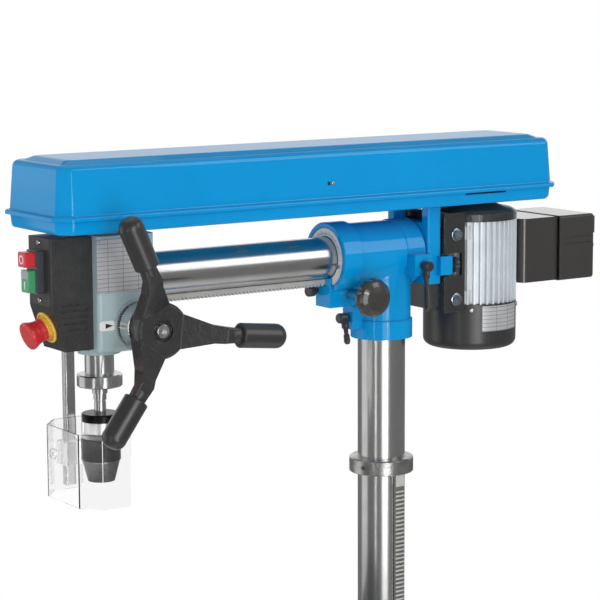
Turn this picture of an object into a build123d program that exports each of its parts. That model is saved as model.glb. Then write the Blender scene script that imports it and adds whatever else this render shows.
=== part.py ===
from build123d import *
import os
from math import acos, ceil, cos, degrees, floor, pi, radians, sin, sqrt, tan

# Radial pillar drill. Millimetres, +Z up, the operator stands on the -Y side.
# The origin is the middle of the column on the underside of the base.

# Fits
RUNNING = 0.05  # radial gap of a shaft in its bore
SLIDING = 0.3  # gap between faces that pass each other
SEAT = 0.02  # radial gap of a piece that stays put in its seat

# Stand
BASE_FRONT = -345.0
BASE_REAR = 145.0
BASE_WIDTH = 310.0
BASE_HEIGHT = 44.0
BASE_PLATE = 16.0
BASE_WALL = 12.0
BASE_CORNER = 34.0
BASE_HOLE_R = 7.0
BASE_HOLE_INSET = 30.0
BASE_SLOT_WIDTH = 14.0
BASE_SLOT_LENGTH = 170.0
BASE_SLOT_SPACING = 120.0
BASE_SLOT_Y = -225.0
COLUMN_R = 35.0
COLUMN_WALL = 5.0
SOCKET_FLANGE_R = 76.0
SOCKET_FLANGE = 18.0
SOCKET_HEIGHT = 96.0
SOCKET_R = 50.0
SOCKET_BOLT_PCR = 62.0
SOCKET_BOLT_R = 6.0
SOCKET_BOLTS = 4
COLLAR_R = 47.5
COLLAR_HEIGHT = 22.0
COLLAR_LIP = 8.0

# Toothed racks and their pinions, all of one module
MODULE = 2.0
TEETH = 14
PRESSURE = 20.0
BACKLASH = 0.36
RACK_ANGLE = 7.0  # round the column, from +X towards +Y
RACK_WIDTH = 15.0
RACK_THICK = 6.2
RACK_PLAIN = 26.0  # toothless length at the top

# Table
BRACKET_R = 50.0
BRACKET_HEIGHT = 116.0
BRACKET_Z = 760.0
LIFT_Z = 812.0
TILT_FACE_Y = -104.0
TILT_DISC_R = 44.0
TILT_DISC = 20.0
TILT_BORE_R = 11.0
TABLE_SIDE = 290.0
TABLE_PLATE = 16.0
TABLE_SKIRT = 30.0
TABLE_WALL = 10.0
TABLE_CORNER = 32.0
TABLE_TOP_Z = 900.0
TABLE_Y = -266.0
TABLE_STEM_R = 20.0
TABLE_STEM = 62.0
CRANK_R = 78.0

# Carriage on the column
RAM_AXIS_Z = 1450.0
RAM_R = 30.0
RAM_WALL = 5.0
CARRIAGE_FRONT = -101.0
CARRIAGE_REAR = 46.0
BARREL_R = 47.0
FRONT_RING_R = 51.0
FRONT_RING = 32.0
REAR_RING_R = 48.5
REAR_RING = 34.0
SLEEVE_R = 43.0
SLEEVE_BOTTOM = -123.5  # all levels below are from the ram's axis
SLEEVE_FLANGE_R = 45.5
SLEEVE_FLANGE = 29.0
COLUMN_TOP = -44.5
PINION_BLOCK_X = 18.0
PINION_BLOCK_FRONT = -104.6
PINION_BLOCK_BOTTOM = -71.5
RAM_PINION_Y = -68.5
RAM_RACK_WIDTH = 12.0
RAM_RACK_TOP = -30.5
RAM_RACK_THICK = 9.9
RAM_KNOB_R = 28.5
RAM_KNOB_X = 88.0
RAM_KNOB_THICK = 30.0
SCALE_R = 43.0
SCALE_DEEP = 2.0

# Head
SPINDLE_Y = -473.0
HEAD_X = 46.0
HEAD_FRONT = -25.0  # along Y, from the spindle
HEAD_REAR = 62.0
HEAD_BOTTOM = -95.5
HEAD_TOP = 62.5
RAM_SOCKET = 14.0  # how deep the ram is seated
QUILL_R = 20.0
QUILL_BOSS_R = 29.0
QUILL_BOSS = 5.0
QUILL_TOP = 24.0
QUILL_BOTTOM = -129.5
NOSE_R = 31.0
NOSE = 17.0
SPINDLE_R = 7.5
SPLINE_R = 6.5
SPINDLE_TOP = 138.0
BEARING_R = 14.0
BEARING_WIDTH = 7.0
FEED_LEVEL = -59.5
SHAFT_R = 8.0
DEPTH_RING_R = 31.5
DEPTH_RING = 30.0
HUB_R = 40.0
HUB_FACE_X = 118.0
GRIP_AXIS_X = 147.0
GRIP_R = 16.8
GRIP_ROUND = 14.0
GRIP_START = 99.5
GRIP_END = 171.0
ARM_ANGLES = (-6.3, 113.7, 233.7)  # from +Y towards +Z
SPRING_CAP_R = 30.0
SPRING_CAP = 16.0
SPRING_CAP_WALL = 2.5
COVER_BOX_X = 31.0
COVER_BOX_FRONT = -88.0
COVER_BOX_TOP = 62.0
COVER_BOX_BOTTOM = -90.0
COVER_BOX_WALL = 3.0
BEVEL_TOP = -28.0
BEVEL_BACK = -67.0

# Chuck, levels from the ram's axis
CHUCK_TOP = -183.5
CHUCK_RING_R = 25.5
CHUCK_RING = 11.0
CHUCK_NECK_R = 22.0
CHUCK_GRIP_R = 26.5
CHUCK_GRIP_TOP = -219.5
CHUCK_GRIP_BOTTOM = -247.5
CHUCK_NOSE_R = 18.0
CHUCK_BOTTOM = -277.0
CHUCK_CORE_R = 21.0
JAW_R = 3.6
JAW_TILT = 14.0
JAW_TIP_R = 4.2
JAW_LENGTH = 28.0
JAW_TRAVEL = 24.0
JAW_EDGE = 0.8
CHUCK_MOUTH_R = 6.5
ARBOR_R = 8.0
ARBOR = 24.0

# Guard
POST_X = -84.0
POST_Y = -476.0
POST_WIDE = 16.0
POST_THICK = 12.0
POST_BOTTOM = -298.0
POST_TOP = 4.0
POST_PIN_R = 6.9
GUARD_TOP = -200.5
GUARD_BOTTOM = -300.5
GUARD_SHEET = 3.0
GUARD_FRONT = -59.0
GUARD_FRONT_X = 44.0
GUARD_SIDE_X = 70.0
GUARD_SHOULDER = -36.0
GUARD_BACK = 8.0

# Belt cover and drive
COVER_FRONT = -576.0
COVER_BACK = 272.5
COVER_X = 87.5
TRAY_FLOOR = 70.0
RIM_LEVEL = 88.5
RIM = 6.0
LID_SHOULDER = 161.0
LID_TOP = 166.2
SHEET = 2.5
LID_DRAFT = 4.5
CORNER_CUT = 20.0
CORNER_ROUND = 8.0
WALL_INSET = 6.0
TRAY_INSET = 6.0
TRAY_DRAFT = 6.0
TOP_INSET = 12.0
TOP_RUN = 11.0
TOP_ROUND = 12.0
SHOULDER_ROUND = 9.0
RIM_ROUND = 2.5
VENT = 3.0
VENT_SPAN = (92.0, 167.0)
HINGE_OUT = 6.5
HINGE_R = 5.0
HINGE_PIN_R = 2.5
HINGE_LEAF = 16.0
HINGE_SPOTS = (-450.0, -155.0, 140.0)
MOTOR_Y = 165.0
PULLEY_STEPS = 5
PULLEY_STEP = 13.4
PULLEY_SMALL = 28.0
PULLEY_GROWTH = 6.0
PULLEY_LEVEL = 79.0
PULLEY_RIM = 3.4
GROOVE_HALF = 5.0
GROOVE_DEEP = 7.5
GROOVE_FLANK = 18.0
SLEEVE_BORE_R = 12.5
PULLEY_BEARING_R = 23.5
PULLEY_BEARING = 12.0
PULLEY_BEARING_LEVELS = (31.0, 56.0)
BELT_HALF = 4.4
BELT_THICK = 6.4

# Rear bracket and motor
BRACKET_FRONT = 47.5
BRACKET_BACK = 70.0
BRACKET_X = 50.0
BRACKET_FOOT = -46.0
UPRIGHT_X = 33.0
CLAMP_RING_R = 44.0
MOUNT_PLATE = 6.0
MOUNT_FRONT = 73.0
MOUNT_BACK = 111.0
MOUNT_TOP = 57.0
MOUNT_BOTTOM = -90.0
WEB_FRONT = 80.0
WEB_THICK = 5.0
NOTCH_TOP = -2.5
NOTCH_BOTTOM = -36.0
NOTCH_BACK = 106.0
GUIDE_ROD_R = 6.0
GUIDE_ROD_LEVELS = (39.5, -39.0)
TENSION_TRAVEL = 6.0
BOLT_LEVELS = (25.0, -71.0)
BOLT_Y = 95.0
BOLT_R = 4.0
BOLT_HEAD_R = 9.5
BOLT_HEAD = 6.0
MOTOR_R = 70.0
MOTOR_TOP = 41.0
MOTOR_BOTTOM = -82.0
FIN_ROOT_R = 63.0
FINS = 44
FIN_THICK = 2.6
MOTOR_BORE_R = 50.0
SHIELD = 17.0
SHIELD_BOSS = 9.5
SHIELD_BOSS_R = 27.0
FAN_COVER = 69.5
FAN_COVER_WALL = 2.0
MOTOR_SHAFT_R = 9.0
BOX_X = 60.0
BOX_NECK_X = 54.0
BOX_FRONT = 222.0
BOX_MIDDLE = 292.0
BOX_BACK = 362.0
BOX_TOP = 39.0
BOX_BOTTOM = -58.0
BOX_WALL = 3.0

os.makedirs("parts", exist_ok=True)

X, Y, Z = Vector(1, 0, 0), Vector(0, 1, 0), Vector(0, 0, 1)


def keep(builder, label, swing=0.0):
    """Write a finished piece, turned about the column if it stands on the swung table side."""
    piece = builder.part.rotate(Axis.Z, swing) if swing else builder.part
    piece.label = label
    export_step(piece, f"parts/{label}.step")


def level(height):
    """A height given from the ram's axis, as a height above the floor."""
    return RAM_AXIS_Z + height


def across(direction):
    """Any direction square to the given one."""
    helper = Z if abs(direction.X) > 0.9 else X
    return direction.cross(helper).normalized()


def turned(origin, direction, outline, mode=Mode.ADD):
    """Revolve a closed outline of (distance along the axis, radius) points."""
    origin, direction = Vector(*origin), Vector(*direction)
    with BuildSketch(Plane(origin, x_dir=direction, z_dir=across(direction))) as profile:
        with BuildLine():
            Polyline(*outline, close=True)
        make_face()
    revolve(profile.sketch, axis=Axis(origin, direction), mode=mode)


def rod(origin, direction, radius, length, mode=Mode.ADD):
    """A plain round bar from a point along a direction."""
    turned(origin, direction, [(0, 0), (length, 0), (length, radius), (0, radius)], mode)


def tube(origin, direction, outer, inner, length, mode=Mode.ADD):
    """A plain ring or pipe from a point along a direction."""
    turned(origin, direction, [(0, inner), (length, inner), (length, outer), (0, outer)], mode)


def prism(plane, outline, amount, mode=Mode.ADD, both=False):
    """Extrude a closed straight-sided outline."""
    with BuildSketch(plane) as face:
        with BuildLine():
            Polyline(*outline, close=True)
        make_face()
    extrude(face.sketch, amount=amount, both=both, mode=mode)


def block(x, y, z, mode=Mode.ADD):
    """A box from three (low, high) pairs."""
    with Locations(((x[0] + x[1]) / 2, (y[0] + y[1]) / 2, (z[0] + z[1]) / 2)):
        Box(x[1] - x[0], y[1] - y[0], z[1] - z[0], mode=mode)


# Tooth sizes shared by the racks and pinions
PITCH = pi * MODULE
PITCH_R = MODULE * TEETH / 2
ADDENDUM = 0.8 * MODULE
DEDENDUM = 1.05 * MODULE
TIP_R = PITCH_R + ADDENDUM
ROOT_R = PITCH_R - DEDENDUM
BASE_CIRCLE_R = PITCH_R * cos(radians(PRESSURE))
TOOTH_HALF = (PITCH / 2 - BACKLASH / 2) / 2
JOURNAL_R = TIP_R + 0.5
LIFT_FACE = RACK_WIDTH + 2
RAM_FACE = RAM_RACK_WIDTH + 2
FEED_FACE = 26.0


def involute(radius):
    """How far the tooth flank has leaned over at a radius, in radians."""
    angle = acos(min(1.0, BASE_CIRCLE_R / radius))
    return tan(angle) - angle


def pinion_outline(lead):
    """Points round a pinion whose first tooth points at the lead angle in degrees."""
    flank = [ROOT_R, BASE_CIRCLE_R, PITCH_R, (PITCH_R + TIP_R) / 2, TIP_R]
    lean = [TOOTH_HALF / PITCH_R + involute(PITCH_R) - involute(max(r, BASE_CIRCLE_R)) for r in flank]
    sides = [(r, -a) for r, a in zip(flank, lean)] + [(r, a) for r, a in zip(flank, lean)][::-1]
    points = []
    for tooth in range(TEETH):
        middle = radians(lead) + 2 * pi * tooth / TEETH
        points += [(r * cos(middle + a), r * sin(middle + a)) for r, a in sides]
    return points


def rack_outline(start, end, gap_at, pitch_line, back, plain=0.0):
    """Points round a rack along its length; a gap between teeth stands at gap_at.

    A plain length without teeth can be left at the end.
    """
    out = 1 if pitch_line > back else -1
    tip, root = pitch_line + out * ADDENDUM, pitch_line - out * DEDENDUM
    half_tip = TOOTH_HALF - ADDENDUM * tan(radians(PRESSURE))
    half_root = TOOTH_HALF + DEDENDUM * tan(radians(PRESSURE))
    first = ceil((start + half_root - gap_at) / PITCH - 0.5)
    last = floor((end - plain - half_root - gap_at) / PITCH - 0.5)
    points = [(start, back), (start, root)]
    for tooth in range(first, last + 1):
        middle = gap_at + (tooth + 0.5) * PITCH
        points += [(middle - half_root, root), (middle - half_tip, tip)]
        points += [(middle + half_tip, tip), (middle + half_root, root)]
    if plain:
        points += [(end - plain, root), (end - plain, tip), (end, tip), (end, back)]
        return points
    return points + [(end, root), (end, back)]


def cover_outline(plane, half_width, front, back, cut):
    """The belt cover's long outline with its corners cut off, as a sketch."""
    with BuildSketch(plane) as outline:
        with Locations((0, (front + back) / 2)):
            Rectangle(2 * half_width, back - front)
        chamfer(outline.vertices(), length=cut)
        fillet(outline.vertices(), radius=CORNER_ROUND)
    return outline.sketch


def clamp_lever(pivot, axis, swing, stud, handle_length=54):
    """A clamping lever: a stud into the casting, a hub on it and a cranked handle."""
    pivot, axis, swing = Vector(*pivot), Vector(*axis), Vector(*swing).normalized()
    rod(pivot - axis * stud, axis, LEVER_STUD_R, stud)
    turned(pivot, axis, [(0, 0), (0, 6), (3, 7.5), (15, 7.5), (17, 6), (17, 0)])
    elbow = pivot + axis * 10 + swing * 13
    rod(pivot + axis * 10, swing, 4.6, 12)
    handle = (swing * 0.94 + axis * 0.34).normalized()
    bend = [(-6, 0), (-6, 3), (-3, 5.6), (3, 5.6), (6, 3.6)]
    grip = [(16, 3.2), (18, 4.4), (handle_length - 4, 4.8), (handle_length - 1, 3.6), (handle_length, 0)]
    turned(elbow, handle, bend + grip)


LEVER_STUD_R = 4.0
COLUMN_LEVER = 33.0

# Heights and places that follow from the driving dimensions
BASE_TOP = BASE_HEIGHT
SOCKET_TOP = BASE_TOP + SOCKET_HEIGHT
COLUMN_END_Z = level(COLUMN_TOP)
RACK_INNER = COLUMN_R + SLIDING
RACK_TIP = RACK_INNER + RACK_THICK
RACK_PITCH_LINE = RACK_TIP - ADDENDUM
RACK_OUTER = sqrt(RACK_TIP**2 + (RACK_WIDTH / 2) ** 2)
COLLAR_BOTTOM = 1124.5
RACK_FOOT_Z = SOCKET_TOP - COLLAR_LIP + SLIDING
RACK_HEAD_Z = COLLAR_BOTTOM + COLLAR_LIP - SLIDING
LIFT_X = RACK_PITCH_LINE + PITCH_R
HEAD_FRONT_Y = SPINDLE_Y + HEAD_FRONT
HEAD_REAR_Y = SPINDLE_Y + HEAD_REAR
RAM_RACK_TIP = RAM_RACK_TOP - RAM_RACK_THICK
RAM_PITCH_LEVEL = RAM_RACK_TIP + ADDENDUM
RAM_PINION_LEVEL = RAM_PITCH_LEVEL - PITCH_R
QUILL_PITCH_Y = QUILL_R - ADDENDUM - 0.4
FEED_Y = SPINDLE_Y + QUILL_PITCH_Y + PITCH_R
COVER_MID_Y = (COVER_FRONT + COVER_BACK) / 2
HINGE_X = -COVER_X - HINGE_OUT
PULLEY_TOP = PULLEY_LEVEL + PULLEY_STEPS * PULLEY_STEP
STEP_RADII = [PULLEY_SMALL + PULLEY_GROWTH * n for n in range(PULLEY_STEPS)]
BELT_RADIUS = STEP_RADII[PULLEY_STEPS // 2]
BELT_LEVEL = PULLEY_LEVEL + PULLEY_STEP * PULLEY_STEPS / 2

# Base plate: a ribbed casting, hollow below, with a solid pad under the column
with BuildPart() as base_plate:
    base_mid = (BASE_FRONT + BASE_REAR) / 2
    base_long = BASE_REAR - BASE_FRONT
    with BuildSketch():
        with Locations((0, base_mid)):
            RectangleRounded(BASE_WIDTH, base_long, BASE_CORNER)
    extrude(amount=BASE_HEIGHT)
    with BuildSketch():
        with Locations((0, base_mid)):
            RectangleRounded(BASE_WIDTH - 2 * BASE_WALL, base_long - 2 * BASE_WALL, BASE_CORNER - BASE_WALL)
    extrude(amount=BASE_HEIGHT - BASE_PLATE, mode=Mode.SUBTRACT)
    rod((0, 0, 0), Z, SOCKET_FLANGE_R, BASE_HEIGHT - BASE_PLATE)
    for rib_x in (-BASE_SLOT_SPACING, 0, BASE_SLOT_SPACING):
        rib_y = (BASE_FRONT + BASE_WALL, BASE_REAR - BASE_WALL)
        block((rib_x - BASE_WALL / 2, rib_x + BASE_WALL / 2), rib_y, (6, BASE_HEIGHT - BASE_PLATE))
    hole_x = BASE_WIDTH / 2 - BASE_HOLE_INSET
    for spot_y in (BASE_FRONT + BASE_HOLE_INSET, BASE_REAR - BASE_HOLE_INSET):
        for spot_x in (-hole_x, hole_x):
            rod((spot_x, spot_y, 0), Z, BASE_HOLE_R + 9, BASE_HEIGHT - BASE_PLATE)
            rod((spot_x, spot_y, -1), Z, BASE_HOLE_R, BASE_HEIGHT + 2, Mode.SUBTRACT)
    with BuildSketch(Plane.XY.offset(BASE_HEIGHT)):
        with Locations((0, BASE_SLOT_Y)):
            with GridLocations(BASE_SLOT_SPACING, 0, 2, 1):
                SlotOverall(BASE_SLOT_LENGTH, BASE_SLOT_WIDTH, rotation=90)
    extrude(amount=-BASE_PLATE, mode=Mode.SUBTRACT)
    with PolarLocations(SOCKET_BOLT_PCR, SOCKET_BOLTS, start_angle=45):
        with Locations((0, 0, BASE_HEIGHT)):
            Hole(SOCKET_BOLT_R + SEAT, depth=26)
    fillet(base_plate.edges().group_by(Axis.Z)[-1].sort_by(Edge.length)[-4:], radius=4)
keep(base_plate, "base_plate")

# Column socket: the flanged foot that holds the column, with a lip for the rack's lower end
with BuildPart() as column_socket:
    turned(
        (0, 0, BASE_TOP),
        Z,
        [
            (0, COLUMN_R + SEAT),
            (0, SOCKET_FLANGE_R),
            (SOCKET_FLANGE - 3, SOCKET_FLANGE_R),
            (SOCKET_FLANGE, SOCKET_FLANGE_R - 3),
            (SOCKET_FLANGE + 14, SOCKET_R + 6),
            (SOCKET_FLANGE + 40, SOCKET_R),
            (SOCKET_HEIGHT, SOCKET_R),
            (SOCKET_HEIGHT, RACK_OUTER + SLIDING),
            (SOCKET_HEIGHT - COLLAR_LIP, RACK_OUTER + SLIDING),
            (SOCKET_HEIGHT - COLLAR_LIP, COLUMN_R + SEAT),
        ],
    )
    with PolarLocations(SOCKET_BOLT_PCR, SOCKET_BOLTS, start_angle=45):
        with Locations((0, 0, BASE_TOP + SOCKET_FLANGE + 14)):
            CounterBoreHole(SOCKET_BOLT_R + SEAT, SOCKET_BOLT_R + 7, 14)
keep(column_socket, "column_socket")

# Four hexagon bolts that hold the socket to the base
with BuildPart() as socket_bolts:
    with PolarLocations(SOCKET_BOLT_PCR, SOCKET_BOLTS, start_angle=45) as spots:
        for spot in spots:
            here = spot.position
            shank_foot = BASE_TOP - 25
            rod((here.X, here.Y, shank_foot), Z, SOCKET_BOLT_R, 25 + SOCKET_FLANGE, Mode.ADD)
            seat_z = BASE_TOP + SOCKET_FLANGE
            with BuildSketch(Plane((here.X, here.Y, seat_z))) as hexagon:
                RegularPolygon(SOCKET_BOLT_R * 1.6, 6)
            extrude(hexagon.sketch, amount=8)
keep(socket_bolts, "socket_bolts")

# Column: a ground steel tube
with BuildPart() as column:
    tube((0, 0, BASE_TOP), Z, COLUMN_R, COLUMN_R - COLUMN_WALL, COLUMN_END_Z - BASE_TOP)
    chamfer(column.edges().group_by(Axis.Z)[-1], length=1)
keep(column, "column")

# Collar that holds the rack's upper end against the column
with BuildPart() as rack_collar:
    turned(
        (0, 0, COLLAR_BOTTOM),
        Z,
        [
            (0, RACK_OUTER + SLIDING),
            (0, COLLAR_R - 1),
            (1, COLLAR_R),
            (COLLAR_HEIGHT - 1.5, COLLAR_R),
            (COLLAR_HEIGHT, COLLAR_R - 1.5),
            (COLLAR_HEIGHT, COLUMN_R + SEAT),
            (COLLAR_LIP, COLUMN_R + SEAT),
            (COLLAR_LIP, RACK_OUTER + SLIDING),
        ],
    )
keep(rack_collar, "rack_collar")

# Column rack: teeth face outwards, free to be carried round the column by the table
with BuildPart() as column_rack:
    rack_plane = Plane((0, 0, 0), x_dir=Z, z_dir=-Y)
    prism(
        rack_plane,
        rack_outline(RACK_FOOT_Z, RACK_HEAD_Z, LIFT_Z, -RACK_PITCH_LINE, -RACK_INNER, RACK_PLAIN),
        RACK_WIDTH / 2,
        both=True,
    )
keep(column_rack, "column_rack", RACK_ANGLE)

# Table bracket: a sleeve on the column with a gear housing, a clamp boss and the tilt face
GEAR_CASE = JOURNAL_R + 7
with BuildPart() as table_bracket:
    rod((0, 0, BRACKET_Z), Z, BRACKET_R, BRACKET_HEIGHT)
    block((0, LIFT_X + GEAR_CASE), (-26, 26), (LIFT_Z - GEAR_CASE, LIFT_Z + GEAR_CASE))
    block((-30, 30), (TILT_FACE_Y + 14, 0), (LIFT_Z - 38, LIFT_Z + 38))
    rod((0, TILT_FACE_Y, LIFT_Z), Y, TILT_DISC_R, TILT_DISC)
    rod((0, 0, LIFT_Z), -X, 15, BRACKET_R + 14)
    fillet(table_bracket.edges().filter_by(Axis.Y).group_by(SortBy.LENGTH)[-1], radius=5)
    rod((0, 0, BRACKET_Z - 1), Z, COLUMN_R + RUNNING, BRACKET_HEIGHT + 2, Mode.SUBTRACT)
    channel_x = RACK_TIP + SLIDING
    channel_y = RACK_WIDTH / 2 + SLIDING
    channel_z = (BRACKET_Z - 1, BRACKET_Z + BRACKET_HEIGHT + 1)
    block((0, channel_x), (-channel_y, channel_y), channel_z, Mode.SUBTRACT)
    rod((LIFT_X, -LIFT_FACE / 2 - 1, LIFT_Z), Y, JOURNAL_R, 60, Mode.SUBTRACT)
    rod((LIFT_X, -30, LIFT_Z), Y, SHAFT_R + RUNNING, 30, Mode.SUBTRACT)
    rod((0, TILT_FACE_Y - 1, LIFT_Z), Y, TILT_BORE_R, 60, Mode.SUBTRACT)
    rod((0, 0, LIFT_Z), -X, LEVER_STUD_R + SLIDING, BRACKET_R + 16, Mode.SUBTRACT)
keep(table_bracket, "table_bracket", RACK_ANGLE)

# Lever that clamps the table bracket on the column
with BuildPart() as table_clamp_lever:
    lever_x = BRACKET_R + 14 + SLIDING
    clamp_lever((-lever_x, 0, LIFT_Z), -X, (0, 0.8, -0.6), lever_x - COLUMN_R - SLIDING)
keep(table_clamp_lever, "table_clamp_lever", RACK_ANGLE)

# Lift pinion: small journal, teeth and large journal on one shaft
SHAFT_TAIL = 74.0
with BuildPart() as lift_pinion:
    with BuildSketch(Plane((LIFT_X, 0, LIFT_Z), x_dir=X, z_dir=-Y)) as teeth:
        with BuildLine():
            Polyline(*pinion_outline(180), close=True)
        make_face()
    extrude(teeth.sketch, amount=LIFT_FACE / 2, both=True)
    rod((LIFT_X, -26, LIFT_Z), Y, SHAFT_R, 26)
    rod((LIFT_X, LIFT_FACE / 2, LIFT_Z), Y, JOURNAL_R - RUNNING, 21)
    rod((LIFT_X, 0, LIFT_Z), Y, SHAFT_R, SHAFT_TAIL)
keep(lift_pinion, "lift_pinion", RACK_ANGLE)

# Lift crank with its handle
with BuildPart() as lift_crank:
    crank_y = SHAFT_TAIL - 22
    prism(
        Plane((LIFT_X, crank_y, LIFT_Z), x_dir=X, z_dir=-Y),
        [(-13, 12), (13, 12), (9, -CRANK_R - 8), (-9, -CRANK_R - 8)],
        -12,
    )
    fillet(lift_crank.edges().filter_by(Axis.Y), radius=5)
    rod((LIFT_X, crank_y - 10, LIFT_Z), Y, 16, 34)
    handle_y = crank_y + 12
    outline = [(0, 0), (0, 7), (6, 10), (40, 13), (74, 11), (82, 6), (84, 0)]
    turned((LIFT_X, handle_y, LIFT_Z - CRANK_R), Y, outline)
    rod((LIFT_X, 0, LIFT_Z), Y, SHAFT_R + SEAT, SHAFT_TAIL, Mode.SUBTRACT)
keep(lift_crank, "lift_crank", RACK_ANGLE)

# Table knuckle: tilts on the bracket's face and carries the table's stem
TILT_GAP = SLIDING
STEM_BOSS_R = TABLE_STEM_R + 14
STEM_TOP_Z = TABLE_TOP_Z - TABLE_SKIRT - SLIDING
with BuildPart() as table_knuckle:
    face_y = TILT_FACE_Y - TILT_GAP
    rod((0, face_y, LIFT_Z), -Y, TILT_DISC_R, TILT_DISC)
    arm_y = (TABLE_Y, face_y - TILT_DISC + 4)
    block((-24, 24), arm_y, (LIFT_Z - 26, LIFT_Z + 26))
    rod((0, TABLE_Y, STEM_TOP_Z - TABLE_STEM - 6), Z, STEM_BOSS_R, TABLE_STEM + 6)
    rod((0, face_y - 4, LIFT_Z), Y, TILT_BORE_R - SLIDING, 54)
    rod((0, TABLE_Y, STEM_TOP_Z - TABLE_STEM), Z, TABLE_STEM_R + RUNNING, TABLE_STEM + 1, Mode.SUBTRACT)
keep(table_knuckle, "table_knuckle", RACK_ANGLE)

# Table: a ribbed square casting with crossed slots, a middle hole and a stem below
with BuildPart() as table:
    with BuildSketch(Plane.XY.offset(TABLE_TOP_Z - TABLE_SKIRT)):
        with Locations((0, TABLE_Y)):
            RectangleRounded(TABLE_SIDE, TABLE_SIDE, TABLE_CORNER)
    extrude(amount=TABLE_SKIRT)
    inner_side = TABLE_SIDE - 2 * TABLE_WALL
    with BuildSketch(Plane.XY.offset(TABLE_TOP_Z - TABLE_SKIRT)):
        with Locations((0, TABLE_Y)):
            RectangleRounded(inner_side, inner_side, TABLE_CORNER - TABLE_WALL)
    extrude(amount=TABLE_SKIRT - TABLE_PLATE, mode=Mode.SUBTRACT)
    under = (TABLE_TOP_Z - TABLE_SKIRT, TABLE_TOP_Z - TABLE_PLATE)
    half = inner_side / 2
    block((-5, 5), (TABLE_Y - half, TABLE_Y + half), under)
    block((-half, half), (TABLE_Y - 5, TABLE_Y + 5), under)
    rod((0, TABLE_Y, under[0]), Z, STEM_BOSS_R, TABLE_SKIRT - TABLE_PLATE)
    rod((0, TABLE_Y, STEM_TOP_Z - TABLE_STEM + SLIDING), Z, TABLE_STEM_R, TABLE_STEM)
    with BuildSketch(Plane.XY.offset(TABLE_TOP_Z)):
        with Locations((0, TABLE_Y)):
            with PolarLocations(92, 4, start_angle=45):
                SlotOverall(96, BASE_SLOT_WIDTH)
    extrude(amount=-TABLE_PLATE, mode=Mode.SUBTRACT)
    rod((0, TABLE_Y, STEM_TOP_Z - TABLE_STEM), Z, 13, TABLE_STEM + TABLE_SKIRT + 2, Mode.SUBTRACT)
    chamfer(table.faces().sort_by(Axis.Z)[-1].outer_wire().edges(), length=1.5)
keep(table, "table", RACK_ANGLE)

# Carriage: an upright sleeve on the column and a level barrel that guides the ram
with BuildPart() as carriage:
    axis_point = (0, CARRIAGE_FRONT, RAM_AXIS_Z)
    rod(axis_point, Y, BARREL_R, CARRIAGE_REAR - CARRIAGE_FRONT)
    rod((0, 0, level(SLEEVE_BOTTOM)), Z, SLEEVE_R, -SLEEVE_BOTTOM)
    seam = carriage.edges().filter_by(GeomType.BSPLINE)
    fillet(seam, radius=9)
    front_bevel = FRONT_RING_R - 1.5
    turned(
        axis_point,
        Y,
        [
            (0, 0),
            (0, front_bevel),
            (1.5, FRONT_RING_R),
            (FRONT_RING, FRONT_RING_R),
            (FRONT_RING + 4, BARREL_R - 1),
            (FRONT_RING + 4, 0),
        ],
    )
    rear_start = CARRIAGE_REAR - REAR_RING
    turned(
        (0, rear_start, RAM_AXIS_Z),
        Y,
        [
            (0, 0),
            (0, BARREL_R - 1),
            (2, REAR_RING_R),
            (REAR_RING - 2, REAR_RING_R),
            (REAR_RING, REAR_RING_R - 2),
            (REAR_RING, 0),
        ],
    )
    turned(
        (0, 0, level(SLEEVE_BOTTOM)),
        Z,
        [
            (0, 0),
            (0, SLEEVE_FLANGE_R),
            (SLEEVE_FLANGE - 2, SLEEVE_FLANGE_R),
            (SLEEVE_FLANGE, SLEEVE_R - 1),
            (SLEEVE_FLANGE, 0),
        ],
    )
    block_y = (PINION_BLOCK_FRONT, -20)
    block((-PINION_BLOCK_X, PINION_BLOCK_X), block_y, (level(PINION_BLOCK_BOTTOM), level(-28)))
    COLUMN_LOCK_LEVEL = -91.0
    COLUMN_LOCK_Y = -61.0
    lock_z = (level(COLUMN_LOCK_LEVEL - 17), level(COLUMN_LOCK_LEVEL + 18))
    block((-12, 12), (COLUMN_LOCK_Y, 0), lock_z)
    RAM_LOCK_X = 66.0
    RAM_LOCK_Y = 27.0
    RAM_LOCK_LEVEL = -14.5
    lock_y = (RAM_LOCK_Y - 15, RAM_LOCK_Y + 16)
    block((0, RAM_LOCK_X), lock_y, (level(RAM_LOCK_LEVEL - 15), level(RAM_LOCK_LEVEL + 16)))
    # bores and channels
    rod((0, CARRIAGE_FRONT - 5, RAM_AXIS_Z), Y, RAM_R + RUNNING, 160, Mode.SUBTRACT)
    tube((0, CARRIAGE_FRONT - 1, RAM_AXIS_Z), Y, SCALE_R + 0.5, RAM_R - 1, SCALE_DEEP + 1, Mode.SUBTRACT)
    column_deep = 1 + COLUMN_TOP - SLEEVE_BOTTOM + SLIDING
    rod((0, 0, level(SLEEVE_BOTTOM) - 1), Z, COLUMN_R + RUNNING, column_deep, Mode.SUBTRACT)
    key_x = RAM_RACK_WIDTH / 2 + SLIDING
    key_z = (level(RAM_RACK_TIP - SLIDING), RAM_AXIS_Z)
    block((-key_x, key_x), (PINION_BLOCK_FRONT - 1, CARRIAGE_REAR + 1), key_z, Mode.SUBTRACT)
    pinion_at = level(RAM_PINION_LEVEL)
    rod((RAM_FACE / 2 + 1, RAM_PINION_Y, pinion_at), -X, JOURNAL_R, 60, Mode.SUBTRACT)
    rod((0, RAM_PINION_Y, pinion_at), X, SHAFT_R + RUNNING, 40, Mode.SUBTRACT)
    rod((0, COLUMN_LOCK_Y - 1, level(COLUMN_LOCK_LEVEL)), Y, LEVER_STUD_R + SLIDING, 60, Mode.SUBTRACT)
    rod((20, RAM_LOCK_Y, level(RAM_LOCK_LEVEL)), X, LEVER_STUD_R + SLIDING, 60, Mode.SUBTRACT)
keep(carriage, "carriage")

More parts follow.
